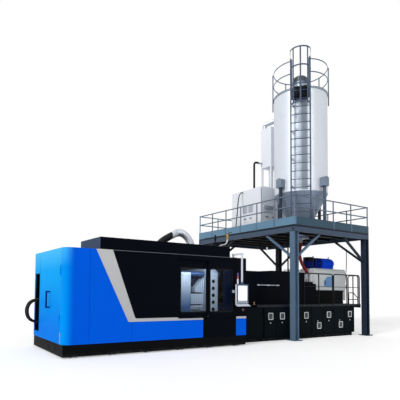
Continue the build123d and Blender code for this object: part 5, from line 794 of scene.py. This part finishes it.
    def tower(self, tint):
        """Hopper, its legs and receiver, and the dryer."""
        finish("hopper silver", METAL, tint.hopper_silver, 0.42, **SHEET, metallic=0.4, regions=(
            # Painted shadow of the ladder on the hopper, with a darker band in it
            ((8.600, 0.600, 5.2), (8.960, 1.020, 8.87), tint.ladder_shadow_grey, 0.42),
            ((8.785, 0.620, 5.2), (8.930, 0.750, 8.87), LADDER_SHADOW_CORE, 0.42),
            ((8.0, 0.0, 8.87), (11.0, 2.8, 8.94), RIM_SHADE, 0.42),
            ((8.0, 0.3, 3.3), (11.0, 2.5, 5.165), tint.cone_grey, 0.45)))
        finish("receiver grey", METAL, tint.receiver_grey, 0.4, **SHEET, metallic=0.5, regions=(
            ((9.2, 1.1, 9.0), (9.8, 1.7, 9.48), RECEIVER_FOOT, 0.4),))
        finish("leg grey", PAINT, tint.leg_grey, 0.45, specular=0.25, regions=(
            # Painted shade on the legs under the hopper, and painted light on the near leg
            ((8.3, 0.2, 3.78), (10.7, 2.6, 5.33), LEGS_IN_SHADE, 0.45),
            ((9.4, 0.2, 3.78), (9.6, 0.5, 5.33), LIT_NEAR_LEG, 0.45)))
        finish("dryer white", PAINT, tint.dryer_white, 0.42, 0.05, 0.03, specular=0.3)
        finish("vent grey", PAINT, tint.vent_grey, 0.5, specular=0.2)

    def small_pieces(self, tint):
        """Ducts, hoses, fasteners, lamps and valves."""
        finish("duct silver", METAL, tint.duct_silver, 0.34, 0.08, 0.06, metallic=0.75,
               stretch=(40.0, 40.0, 40.0))
        finish("rubber black", PLASTIC, tint.rubber_black, 0.5, 0.1, 0.15, 0.2, 0.0008, specular=0.2,
               regions=(((9.02, 3.0, 6.7), (9.25, 3.3, 6.9), tint.vent_grey, 0.45),
                        ((3.63, 1.0, 2.8), (3.90, 1.4, 3.5), tint.duct_silver, 0.4)))
        finish("feed red", PLASTIC, tint.feed_red, 0.45, 0.08, 0.12, 0.15, 0.0008, specular=0.2,
               drifts=((2, 3.38, 3.44, tint.trim_silver),))
        finish("fastener zinc", METAL, tint.steel, 0.38, 0.08, 0.1, metallic=0.85, stretch=SMALL_GRAIN)
        finish("brass", METAL, linear(196, 158, 96), 0.3, 0.08, 0.08, metallic=0.8, stretch=SMALL_GRAIN)
        finish("vent dark", PLASTIC, linear(14, 16, 20), 0.6, bump=0.1, specular=0.1)
        finish("valve yellow", PLASTIC, linear(160, 126, 40), 0.35)
        finish("signal red", PLASTIC, linear(150, 56, 62), 0.35, bump=0.03)
        finish("lamp blue", PLASTIC, linear(52, 44, 132), 0.3, bump=0.03)


NODE_FINISHES = {
    "guard blue": "front_blue_panel lower_blue_panels",
    "lit corner blue": "corner_panel",
    "lit end blue": "end_panels end_door",
    "black panel": "black_front_panels inner_gate outer_gate gate_tracks rear_panels roof_panel "
                   "barrel_covers",
    "hood black": "roof_hood",
    "base black": "machine_bed",
    "trim silver": "silver_trim",
    "frame grey": "guard_frame control_gear",
    "platen grey": "fixed_platens moving_platen mould_core_half",
    "mould grey": "mould_cavity_half",
    "machined steel": "extruder_screw slide_gate levelling_pads",
    "bar steel": "tie_bars",
    "injection black": "injection_unit",
    "clear pane": "inner_gate_glass outer_gate_glass",
    "enamel white": "hmi_arm",
    "console grey": "hmi_panel",
    "stop red": "estop_button",
    "cabinet charcoal": "cabinet_carcass " + " ".join("cabinet_door_%d" % i for i in range(1, 8)),
    "deck charcoal": "walkway_deck platform_deck",
    "black tube": "walkway_rails",
    "drive white": "drive_housing",
    "motor blue": "drive_motors",
    "platform grey": "platform_frame",
    "toe grey": "platform_railing",
    "rail slate": "top_railing",
    "ladder slate": "ladder",
    "hopper silver": "hopper",
    "receiver grey": "vacuum_receiver",
    "leg grey": "hopper_legs",
    "dryer white": "dryer_unit dryer_door",
    "duct silver": "air_ducts",
    "rubber black": "air_hoses end_hose_near end_hose_far dryer_cable drive_cable",
    "feed red": "feed_hose",
}


class PREFORM_OT_hoses(bpy.types.Operator):
    """Lay the two hoses of the hose bay, the feed hose under the hopper and the two cables"""
    bl_idname = "preform.hoses"
    bl_label = "Free hoses"

    def execute(self, context):
        pitch = context.scene.machine_sizes.hose_rib_pitch
        for title, y in (("end_hose_near", 2.160), ("end_hose_far", 2.300)):
            route = [(0.180, y, 1.295), (-0.060, y, 1.295), (-0.2337, y, 1.1834), (-0.285, y, 0.985),
                     (-0.2337, y, 0.7866), (-0.060, y, 0.675), (0.180, y, 0.675)]
            self.lay(title, route, 0.038, pitch, 0.003)
        route = [(9.490, 1.400, 3.4572), (9.490, 1.400, 3.3365), (9.410, 1.390, 3.1313),
                 (9.386, 1.372, 2.9140), (9.440, 1.344, 2.6725), (9.560, 1.316, 2.4794),
                 (9.680, 1.300, 2.3400), (9.680, 1.300, 2.2500)]
        self.lay("feed_hose", route, 0.059, pitch, 0.004, "feed red", "red_hose", "carriage")
        route = [(8.730, 3.734, 5.647), (8.510, 3.734, 5.647), (8.170, 3.442, 4.650),
                 (7.830, 3.150, 3.923), (7.830, 3.150, 3.773)]
        self.lay("dryer_cable", route, 0.020, pitch, 0.001)
        route = [(11.616, 0.997, 3.1611), (11.616, 0.997, 3.0211), (11.7055, 1.071, 2.5156),
                 (11.715, 1.145, 2.010), (11.715, 1.145, 1.870)]
        self.lay("drive_cable", route, 0.014, pitch, 0.001, far_body="carriage")
        return {"FINISHED"}

    def lay(self, node_name, route, radius, pitch, depth, surface="rubber black", slot="black_rubber",
            far_body=None):
        """One hose: a ribbed tube along its route's spline, in place of its solid."""
        tube, line, marks = ribbed(route, radius, pitch, depth, Y_AXIS, 22, 16, 5)
        made = piece(node_name + "_ribbed", [tube], surface, None, TUBE_SHARP)
        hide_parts(node_name)
        if far_body:
            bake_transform(made)
        else:
            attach(made, "machine")


class PREFORM_OT_ducts(bpy.types.Operator):
    """Corrugated air ducts and ribbed air hoses"""
    bl_idname = "preform.ducts"
    bl_label = "Air ducts"

    def execute(self, context):
        sizes = context.scene.machine_sizes
        pitch, depth = sizes.rib_pitch, sizes.rib_depth
        joint = (3.8162, 1.200, 3.2901)
        upper = [(9.335, 3.095, 8.197), (9.335, 3.095, 8.300), (9.335, 3.095, 8.402),
                 (9.335, 2.990, 8.402), (9.335, 2.700, 8.402), (9.335, 2.330, 8.402)]
        lower = [(9.440, 2.850, z) for z in (5.707, 6.000, 6.300, 6.597)]
        arch = [joint, (3.990, 1.200, 3.370), (4.360, 1.200, 3.067), (4.360, 1.200, 2.857)]
        ducts = [ribbed(upper, 0.095, pitch, depth, X_AXIS)[0],
                 ribbed(lower, 0.095, pitch, depth, X_AXIS)[0],
                 ribbed(arch, 0.118, pitch, depth, Y_AXIS)[0]]
        made = piece("air_ducts_ribbed", ducts, "duct silver", "machine", TUBE_SHARP)
        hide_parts("air_ducts")
        side = [(8.800, 3.144, 5.707), (8.800, 3.144, 6.200), (8.800, 3.144, 6.530),
                (8.800, 3.144, 6.797), (9.070, 3.144, 6.797), (9.230, 3.144, 6.797)]
        slant = [(3.200, 1.200, 2.857), (3.200, 1.200, 3.007), joint]
        hoses = [ribbed(side, 0.042, pitch * 0.6, depth * 0.4, Y_AXIS)[0],
                 ribbed(slant, 0.105, pitch * 0.8, depth * 0.5, Y_AXIS)[0]]
        made = piece("air_hoses_ribbed", hoses, "rubber black", "machine", TUBE_SHARP)
        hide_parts("air_hoses")
        return {"FINISHED"}


class PREFORM_OT_gate(bpy.types.Operator):
    """Window seals, and the brush between the gate leaves"""
    bl_idname = "preform.gate"
    bl_label = "Gate leaves"

    def execute(self, context):
        width = context.scene.machine_sizes.seal_width
        height, middle = 1.160, 1.595
        for side, x0, span, y, rise in (("inner", 3.222, 0.837, 0.026, 0.003),
                                        ("outer", 4.162, 0.760, -0.034, 0.006)):
            seal = hoop((x0 + span / 2, y, middle), (span + width, height + width), 0.037, FRONT, width, rise)
            piece(side + "_window_seal", [seal], "rubber black", side + "_gate_leaf",
                  BEAD_SHARP)
        brush = [box((4.1125, -0.004, 0.880), (4.1195, 0.0265, 2.410), 0.001)]
        piece("leaf_brush", brush, "rubber black", "inner_gate_leaf")
        return {"FINISHED"}


class PREFORM_OT_console(bpy.types.Operator):
    """Screen, bezel, keys and stack lamp of the operator panel"""
    bl_idname = "preform.console"
    bl_label = "Operator panel"

    def execute(self, context):
        body = "operator_panel"
        x, z = 5.120, 1.515
        page = pad((x, -0.2762, z), (0.354, 0.454), 0.002, FRONT, 0.004)
        piece("console_screen", [page], "lit screen", body)
        rim = hoop((x, -0.280, z), (0.366, 0.466), 0.010, FRONT, 0.014, 0.004)
        piece("console_bezel", [rim], "vent dark", body, BEAD_SHARP)
        slope = np.array((0.0, 0.18, 0.092))
        slope /= np.linalg.norm(slope)
        lip = np.array((x, -0.390, 1.158))
        keys = [pad(lip + slope * along + X_AXIS * aside, (0.030, 0.020), 0.006, (X_AXIS, slope), 0.004)
                for along in (0.026, 0.058, 0.090) for aside in np.linspace(-0.17, 0.17, 9)]
        piece("console_keys", keys, "enamel white", body)
        foot = np.array((4.966, -0.245, 1.780))
        stack = ((0, 0), (0.024, 0), (0.024, 0.14), (0.018, 0.15), (0, 0.15))
        lens = ((0, 0), (0.024, 0), (0.024, 0.075), (0.018, 0.085), (0, 0.085))
        for title, lift, shape, surface, slot in (
                ("signal_post", 0.0, stack, "enamel white", "white_enamel"),
                ("signal_red", 0.15, lens, "signal red", "red_plastic"),
                ("signal_blue", 0.235, lens, "lamp blue", "red_plastic")):
            piece(title, [turned(foot + Z_AXIS * lift, TOP, shape, 20)], surface, body)
        return {"FINISHED"}


class PREFORM_OT_cabinets(bpy.types.Operator):
    """Breathers and latch wings of the control cabinets"""
    bl_idname = "preform.cabinets"
    bl_label = "Control cabinets"

    def execute(self, context):
        count = context.scene.machine_sizes.slat_count
        tilt = math.radians(SLAT_TILT)
        lean = (X_AXIS, np.array((0.0, -math.sin(tilt), math.cos(tilt))))
        boss = ((0, 0), (0.026, 0), (0.026, 0.006), (0.020, 0.010), (0, 0.010))
        face = DOOR_FACE - BREATHER_RISE
        for number in range(1, 8):
            body = "cabinet_door_%d" % number
            low, high = (np.array(corner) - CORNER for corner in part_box(body))
            middle = (low[0] + HINGE_LAP + high[0]) / 2
            x, z = (middle + 0.065, 0.425) if number in LOW_BREATHERS else (middle, 0.790)
            rim = [hoop((x, face, z), (0.188, 0.198), 0.012, FRONT, 0.020, 0.006)]
            blades = [pad((x, face + 0.001, z + step), (0.170, 0.015), 0.006, lean, 0.003)
                      for step in np.linspace(-0.078, 0.078, count)]
            back = [pad((x, DOOR_FACE, z), (0.207, 0.217), 0.0245, FRONT, 0.014, 0.008)]
            wing = [turned((middle, 0.406, 0.578), FRONT, boss),
                    pad((middle, 0.397, 0.578), (0.016, 0.050), 0.010, FRONT, 0.006)]
            for title, grids, surface, slot in (("breather", rim, "breather white", "panel_grey"),
                                                ("breather_slats", blades, "slat grey", "panel_grey"),
                                                ("breather_back", back, "vent dark", "black_panel"),
                                                ("latch_wing", wing, "fastener zinc", "machined_steel")):
                piece("%s_%d" % (title, number), grids, surface, body)
        return {"FINISHED"}


class PREFORM_OT_drive(bpy.types.Operator):
    """Fins, end shields and gear drum of the drive motors"""
    bl_idname = "preform.drive"
    bl_label = "Drive"

    def execute(self, context):
        count = context.scene.machine_sizes.fin_count
        turn = np.linspace(0, 2 * math.pi, count * 6 + 1)
        wave = np.clip(1.8 * np.cos(turn * count), -1, 1)
        radius = 0.192 + 0.012 * wave
        profile = np.stack([radius * np.cos(turn), radius * np.sin(turn)], -1)
        fins = carried([(x, *MOTOR_AXIS) for x in (10.22, 10.64, 11.02)], profile, Z_AXIS)
        near = ((0, 0), (0.19, 0), (0.198, 0.02), (0.198, 0.09), (0.186, 0.11), (0, 0.11))
        far = ((0, 0), (0.198, 0), (0.198, 0.10), (0.17, 0.142), (0.05, 0.15), (0, 0.15))
        drum = ((0, 0), (0.215, 0), (0.215, 0.03), (0.19, 0.045), (0.19, 0.245), (0.21, 0.255), (0.21, 0.27),
                (0, 0.27))
        grids = [fins, turned((10.085, *MOTOR_AXIS), DRIVE_END, near),
                 turned((11.04, *MOTOR_AXIS), DRIVE_END, far),
                 turned((9.9325, MOTOR_AXIS[0], 2.465), TOP, drum, 32)]
        piece("motor_fins", grids, "motor blue", "carriage")
        return {"FINISHED"}


class PREFORM_OT_bay(bpy.types.Operator):
    """Side plate, stepped blocks, couplings and plugs that the gate windows show"""
    bl_idname = "preform.bay"
    bl_label = "Mould bay"

    def execute(self, context):
        across = context.scene.machine_sizes.bolt_across
        face = 0.550
        plate = [pad((3.505, face, 1.500), (0.750, 1.200), 0.030, FRONT, 0.010)]
        for x in (3.60, 3.80):
            for z in (0.98, 1.50, 2.02):
                plate += bolt((x, face - 0.030, z), FRONT, across)
        piece("platen_side_plate", plate, "side plate", "clamp")
        front, back = 0.600, 0.812
        blocks = []
        for step in range(5):
            x = 4.104 + 0.064 * step
            blocks.append(box((x, front, 1.530), (x + 0.046, back, 1.700 + 0.058 * step)))
        for step in range(7):
            x = 3.960 + 0.064 * step
            blocks.append(box((x, front, 1.190), (x + 0.046, back, 1.490)))
            blocks.append(box((x, front, 1.030), (x + 0.050, back, 1.150), 0.020))
        piece("mould_service_blocks", blocks, "platen grey", "machine")
        tap = ((0, 0), (0.020, 0), (0.020, 0.02), (0.012, 0.022), (0.012, 0.05), (0, 0.05))
        taps = [turned((x, front, 1.090), FRONT, tap, 12) for x in np.linspace(3.99, 4.37, 6)]
        taps += [hoop((*PORT_SPOT, z), (0.116, 0.116), 0.058, FRONT, 0.010, 0.005) for z in PORT_ROWS]
        piece("mould_couplings", taps, "fastener zinc", "machine")
        plugs = [pad((*PORT_SPOT, z), (0.106, 0.106), 0.004, FRONT, 0.053, 0.001, 6) for z in PORT_ROWS]
        piece("port_plugs", plugs, "vent dark", "machine")
        return {"FINISHED"}


class PREFORM_OT_guard(bpy.types.Operator):
    """Strips on the guard, and the pipes and valves on its roof"""
    bl_idname = "preform.guard"
    bl_label = "Guard"

    def execute(self, context):
        strip = [pad((0.0, 0.205, 0.440), (0.036, 0.260), 0.004, CLAMP_END, 0.004)]
        piece("corner_foot_strip", strip, "fastener zinc", "machine")
        edge = [pad((3.245, 0.0, 2.543), (4.500, 0.010), 0.003, FRONT)]
        piece("guard_edge_strip", edge, "edge strip", "machine")
        y = 0.400
        flange = ((0, 0), (0.055, 0), (0.055, 0.012), (0.030, 0.016), (0, 0.016))
        route = [(4.79, y, ROOF_TOP), (4.79, y, 2.72), (4.79, y, 2.92), (5.12, y, 2.97), (5.12, y, 3.14)]
        water = [pipe(route, 0.022, Y_AXIS), turned(route[0], TOP, flange)]
        piece("roof_water_pipe", water, "fastener zinc", "machine")
        valve = ((0, 0), (0.024, 0), (0.036, 0.03), (0.036, 0.12), (0.024, 0.15), (0.014, 0.15),
                 (0.014, 0.18), (0, 0.18))
        tap = [turned((5.12, y, 3.12), TOP, valve, 16)]
        piece("roof_valve", tap, "valve yellow", "machine")
        lever = [rod((5.12, y, 3.29), (5.28, y, 3.35), 0.012)]
        piece("roof_valve_lever", lever, "stop red", "machine")
        foot = (4.66, y, ROOF_TOP)
        relief = [rod(foot, (4.66, y, 3.06), 0.020), turned(foot, TOP, flange),
                  turned((4.66, y, 3.05), TOP, valve, 16)]
        piece("roof_relief_valve", relief, "black tube", "machine")
        return {"FINISHED"}


class PREFORM_OT_platform(bpy.types.Operator):
    """Anchor bolts of the posts, straps on the toe boards and bolts of the beams"""
    bl_idname = "preform.platform"
    bl_label = "Platform"

    def execute(self, context):
        across = context.scene.machine_sizes.bolt_across
        posts = [(x, y) for x in POSTS_X for y in POSTS_Y]
        bolts = foot_bolts(posts, 0.020, 0.135, across)
        for x in (7.745, 7.875, 11.551, 11.681):
            for z in BEAM_ROWS:
                bolts += bolt((x, BEAM_FRONT, z), FRONT, across * 0.8)
        for y in (0.180, 0.280, 4.450, 4.550):
            for z in BEAM_ROWS:
                bolts += bolt((BEAM_END, y, z), CLAMP_END, across * 0.8)
        piece("platform_bolts", bolts, "platform grey", "machine")
        middle, size, rise = DECK_TOP + 0.142, (0.060, 0.284), 0.006
        straps = [pad((BEAM_END, y, middle), size, rise, CLAMP_END)
                  for y in (1.025, 1.890, 2.755, 3.620, 4.485)]
        straps += [pad((x, BEAM_FRONT, middle), size, rise, FRONT) for x in (9.713, 10.700)]
        piece("toe_board_straps", straps, "platform grey", "machine")
        return {"FINISHED"}


class PREFORM_OT_tower(bpy.types.Operator):
    """Beads of the hopper's sheets, the landing's casing and the anchor bolts of the legs"""
    bl_idname = "preform.tower"
    bl_label = "Hopper tower"

    def execute(self, context):
        across = context.scene.machine_sizes.bolt_across
        centre = np.array((*TOWER, 0.0))
        beads = [ring(centre + Z_AXIS * z, HOPPER_RADIUS, 0.030, 0.008) for z in (5.195, 6.100, 7.030, 7.960)]
        piece("hopper_beads", beads, "hopper silver", "machine", BEAD_SHARP)
        aim = math.radians(LADDER_AIM)
        out = np.array((math.cos(aim), math.sin(aim), 0.0))
        sideways = np.array((-math.sin(aim), math.cos(aim), 0.0))
        spot = centre + out * 0.965 + Z_AXIS * 8.655
        casing = pad(spot, (0.502, 0.378), 0.240, (sideways, Z_AXIS), 0.008, 0.008)
        piece("landing_casing", [casing], "landing slate", "machine")
        x, y = TOWER
        legs = ((x - LEG_REACH, y), (x + LEG_REACH, y), (x, y - LEG_REACH), (x, y + LEG_REACH))
        bolts = foot_bolts(legs, DECK_TOP + 0.018, 0.083, across * 0.8)
        piece("leg_bolts", bolts, "fastener zinc", "machine")
        return {"FINISHED"}


class PREFORM_OT_dryer(bpy.types.Operator):
    """Vents, grips and corner strip of the dryer"""
    bl_idname = "preform.dryer"
    bl_label = "Dryer"

    def execute(self, context):
        vent_z, grip_z = 4.921, 4.520
        for part, y, body in (("fixed", 3.592, "machine"), ("door", 3.268, "dryer_door")):
            vent = grille((DRYER_END, y, vent_z), (0.265, 0.340), (0.235, 0.310), 9, CLAMP_END)
            piece("dryer_vent_" + part, vent, "vent grey", body)
            pull = grip((DRYER_END, y, grip_z), CLAMP_END)
            piece("dryer_grip_" + part, [pull], "rail slate", body)
        pulls = [grip((x, DRYER_FRONT, grip_z), FRONT) for x in (8.987, 9.337)]
        piece("dryer_side_grips", pulls, "rail slate", "machine")
        vents = grille((9.108, DRYER_FRONT, 4.884), (0.525, 0.182), (0.495, 0.160), 6, FRONT)
        vents.append(pad((9.108, DRYER_FRONT, 4.700), (0.525, 0.040), 0.010, FRONT, 0.010))
        piece("dryer_side_vents", vents, "vent grey", "machine")
        strip = [pad((DRYER_END, 2.668, 4.740), (0.040, 1.880), 0.006, CLAMP_END, 0.004)]
        piece("dryer_corner_strip", strip, "rail slate", "machine")
        return {"FINISHED"}


class PREFORM_OT_covers(bpy.types.Operator):
    """Pipe on the barrel covers drawn white for a glint, walkway fitting, pipe under the platform, and
    service panel's grip
    """
    bl_idname = "preform.covers"
    bl_label = "Barrel covers"

    def execute(self, context):
        # Painted highlight: a pipe with three clips along the covers, drawn white for the glint along it
        y, z = COVER_FACE - 0.020, 1.790
        line = [rod((6.88, y, z), (7.92, y, z), 0.013)]
        line += [pad((x, COVER_FACE, z), (0.030, 0.050), 0.034, FRONT, 0.006) for x in (6.95, 7.40, 7.85)]
        piece("white_glint_pipe", line, "enamel white", "machine")
        nipple = ((0, 0), (0.032, 0), (0.032, 0.02), (0.020, 0.024), (0.020, 0.06), (0.028, 0.064),
                  (0.028, 0.09), (0, 0.09))
        fitting = [turned((6.40, 0.62, 1.148), TOP, nipple, 12)]
        piece("walkway_fitting", fitting, "brass", "machine")
        drain = [rod((8.905, 1.490, 2.268), (8.905, 1.490, 3.743), 0.026)]
        piece("platform_drain", drain, "black tube", "machine")
        pull = [pad((10.450, 1.088, 1.935), (0.035, 0.180), 0.008, FRONT, 0.010)]
        piece("service_grip", pull, "vent dark", "carriage")
        return {"FINISHED"}


class PREFORM_OT_stage(bpy.types.Operator):
    """Floor, lamps, sky and the camera"""
    bl_idname = "preform.stage"
    bl_label = "Stage"

    def execute(self, context):
        settings = context.scene.stage_settings
        self.floor()
        self.sky(settings.sky)
        self.sun("key_lamp", settings.key, (0.86, 0.24, -0.45), 16.0)
        self.sun("fill_lamp", settings.fill, (0.10, 0.92, -0.38), 30.0)
        self.camera(settings.lens)
        self.bay_lamp(settings.bay)
        bpy.context.scene.view_settings.view_transform = "Standard"
        return {"FINISHED"}

    def floor(self):
        """Pale floor, a square grid well past the camera's view."""
        reach = np.linspace(-90, 90, 7)
        grid = np.stack(np.meshgrid(reach, reach, [0.0], indexing="ij"), -1)[:, :, 0]
        tree, shader = new_finish("pale floor")
        cloud = noise(tree, node(tree, "TexCoord").outputs["Object"], 0.4)
        grey = ranged(tree, cloud, *EVEN_NOISE, 0.93, 0.97)
        pale = node(tree, "CombineColor", {0: grey, 1: grey, 2: grey}).outputs[0]
        seen = node(tree, "LightPath").outputs["Is Camera Ray"]
        tree.links.new(pale, shader["Base Color"])
        tree.links.new(math_node(tree, "MULTIPLY", seen, 0.34), shader["Emission Strength"])
        shader["Emission Color"].default_value = (1, 1, 1, 1)
        shader["Roughness"].default_value = 0.75
        mesh = bpy.data.meshes.new("floor")
        mesh.from_pydata(grid.reshape(-1, 3), [], grid_quads(*grid.shape[:2])[:, ::-1])
        mesh.materials.append(FINISHES["pale floor"])
        linked("floor", mesh)

    def sky(self, strength):
        """Even white sky; what the camera, gloss and glass see of it is plain white."""
        world = bpy.data.worlds.new("sky")
        bpy.context.scene.world = world
        world.use_nodes = True
        tree = world.node_tree
        path = node(tree, "LightPath").outputs
        seen = math_node(tree, "MAXIMUM", path["Is Camera Ray"], math_node(
            tree, "MAXIMUM", path["Is Glossy Ray"], path["Is Transmission Ray"]))
        power = ranged(tree, seen, 0.0, 1.0, strength, 1.0)
        tree.links.new(power, tree.nodes["Background"].inputs["Strength"])
        tree.nodes["Background"].inputs["Color"].default_value = (1, 1, 1, 1)

    def aimed(self, lamp, direction):
        """Object of a lamp, turned to shine in a direction."""
        holder = linked(lamp.name, lamp)
        holder.rotation_euler = Vector(direction).to_track_quat("-Z", "Y").to_euler()
        return holder

    def sun(self, title, strength, direction, spread):
        """One soft lamp far away."""
        lamp = bpy.data.lights.new(title, "SUN")
        lamp.energy = strength
        lamp.angle = math.radians(spread)
        self.aimed(lamp, direction)

    def bay_lamp(self, watts):
        """Lamp under the roof of the mould bay, which the windows show."""
        lamp = bpy.data.lights.new("bay_lamp", "AREA")
        lamp.shape = "RECTANGLE"
        lamp.size, lamp.size_y = 1.5, 0.3
        lamp.energy = watts
        lamp.color = (0.8, 0.9, 1.0)
        holder = self.aimed(lamp, (0.05, 0.75, -0.65))
        holder.location = Vector(CORNER) + Vector((4.0, 0.16, 2.36))

    def camera(self, lens):
        """Camera at the clamp end's corner, a little above eye height, turned to the injection side."""
        yaw, pitch, roll = (math.radians(angle) for angle in (30.87, 2.93, 0.72))
        ahead = Vector((math.sin(yaw) * math.cos(pitch), math.cos(yaw) * math.cos(pitch), math.sin(pitch)))
        right = Vector((math.cos(yaw), -math.sin(yaw), 0))
        up = right.cross(ahead)
        tilted = right * math.cos(roll) + up * math.sin(roll)
        upright = up * math.cos(roll) - right * math.sin(roll)
        turn = Matrix((tilted, upright, -ahead)).transposed().to_4x4()
        data = bpy.data.cameras.new("camera")
        data.lens = lens
        data.sensor_width = 36.0
        data.shift_x, data.shift_y = 0.10, 0.17
        data.clip_end = 400.0
        holder = linked("camera", data)
        spot = Vector(CORNER) + Vector((-3.0307, -9.3217, 1.5987))
        holder.matrix_world = Matrix.Translation(spot) @ turn
        bpy.context.scene.camera = holder


STEPS = (PREFORM_OT_finishes, PREFORM_OT_stage, PREFORM_OT_hoses, PREFORM_OT_ducts, PREFORM_OT_gate,
         PREFORM_OT_console, PREFORM_OT_cabinets, PREFORM_OT_drive, PREFORM_OT_bay, PREFORM_OT_guard,
         PREFORM_OT_platform, PREFORM_OT_tower, PREFORM_OT_dryer, PREFORM_OT_covers)


class PREFORM_PT_sidebar(bpy.types.Panel):
    """Lists the steps that dress the machine"""
    bl_idname = "PREFORM_PT_sidebar"
    bl_label = "Preform machine"
    bl_space_type = "VIEW_3D"
    bl_region_type = "UI"
    bl_category = "Machine"

    def draw(self, context):
        for step in STEPS:
            self.layout.operator(step.bl_idname)
        for name in SETTINGS:
            group = getattr(context.scene, name)
            for key in group.__annotations__:
                self.layout.prop(group, key)


CLASSES = (MachineColours, MachineSizes, StageSettings, *STEPS, PREFORM_PT_sidebar)
SETTINGS = {"machine_colours": MachineColours, "machine_sizes": MachineSizes, "stage_settings": StageSettings}


def register():
    for kind in CLASSES:
        bpy.utils.register_class(kind)
    for name, kind in SETTINGS.items():
        setattr(bpy.types.Scene, name, PointerProperty(type=kind))


def unregister():
    for name in SETTINGS:
        delattr(bpy.types.Scene, name)
    for kind in reversed(CLASSES):
        bpy.utils.unregister_class(kind)


def main():
    register()
    for step in STEPS:
        family, name = step.bl_idname.split(".")
        getattr(getattr(bpy.ops, family), name)()


if __name__ == "__main__":
    main()
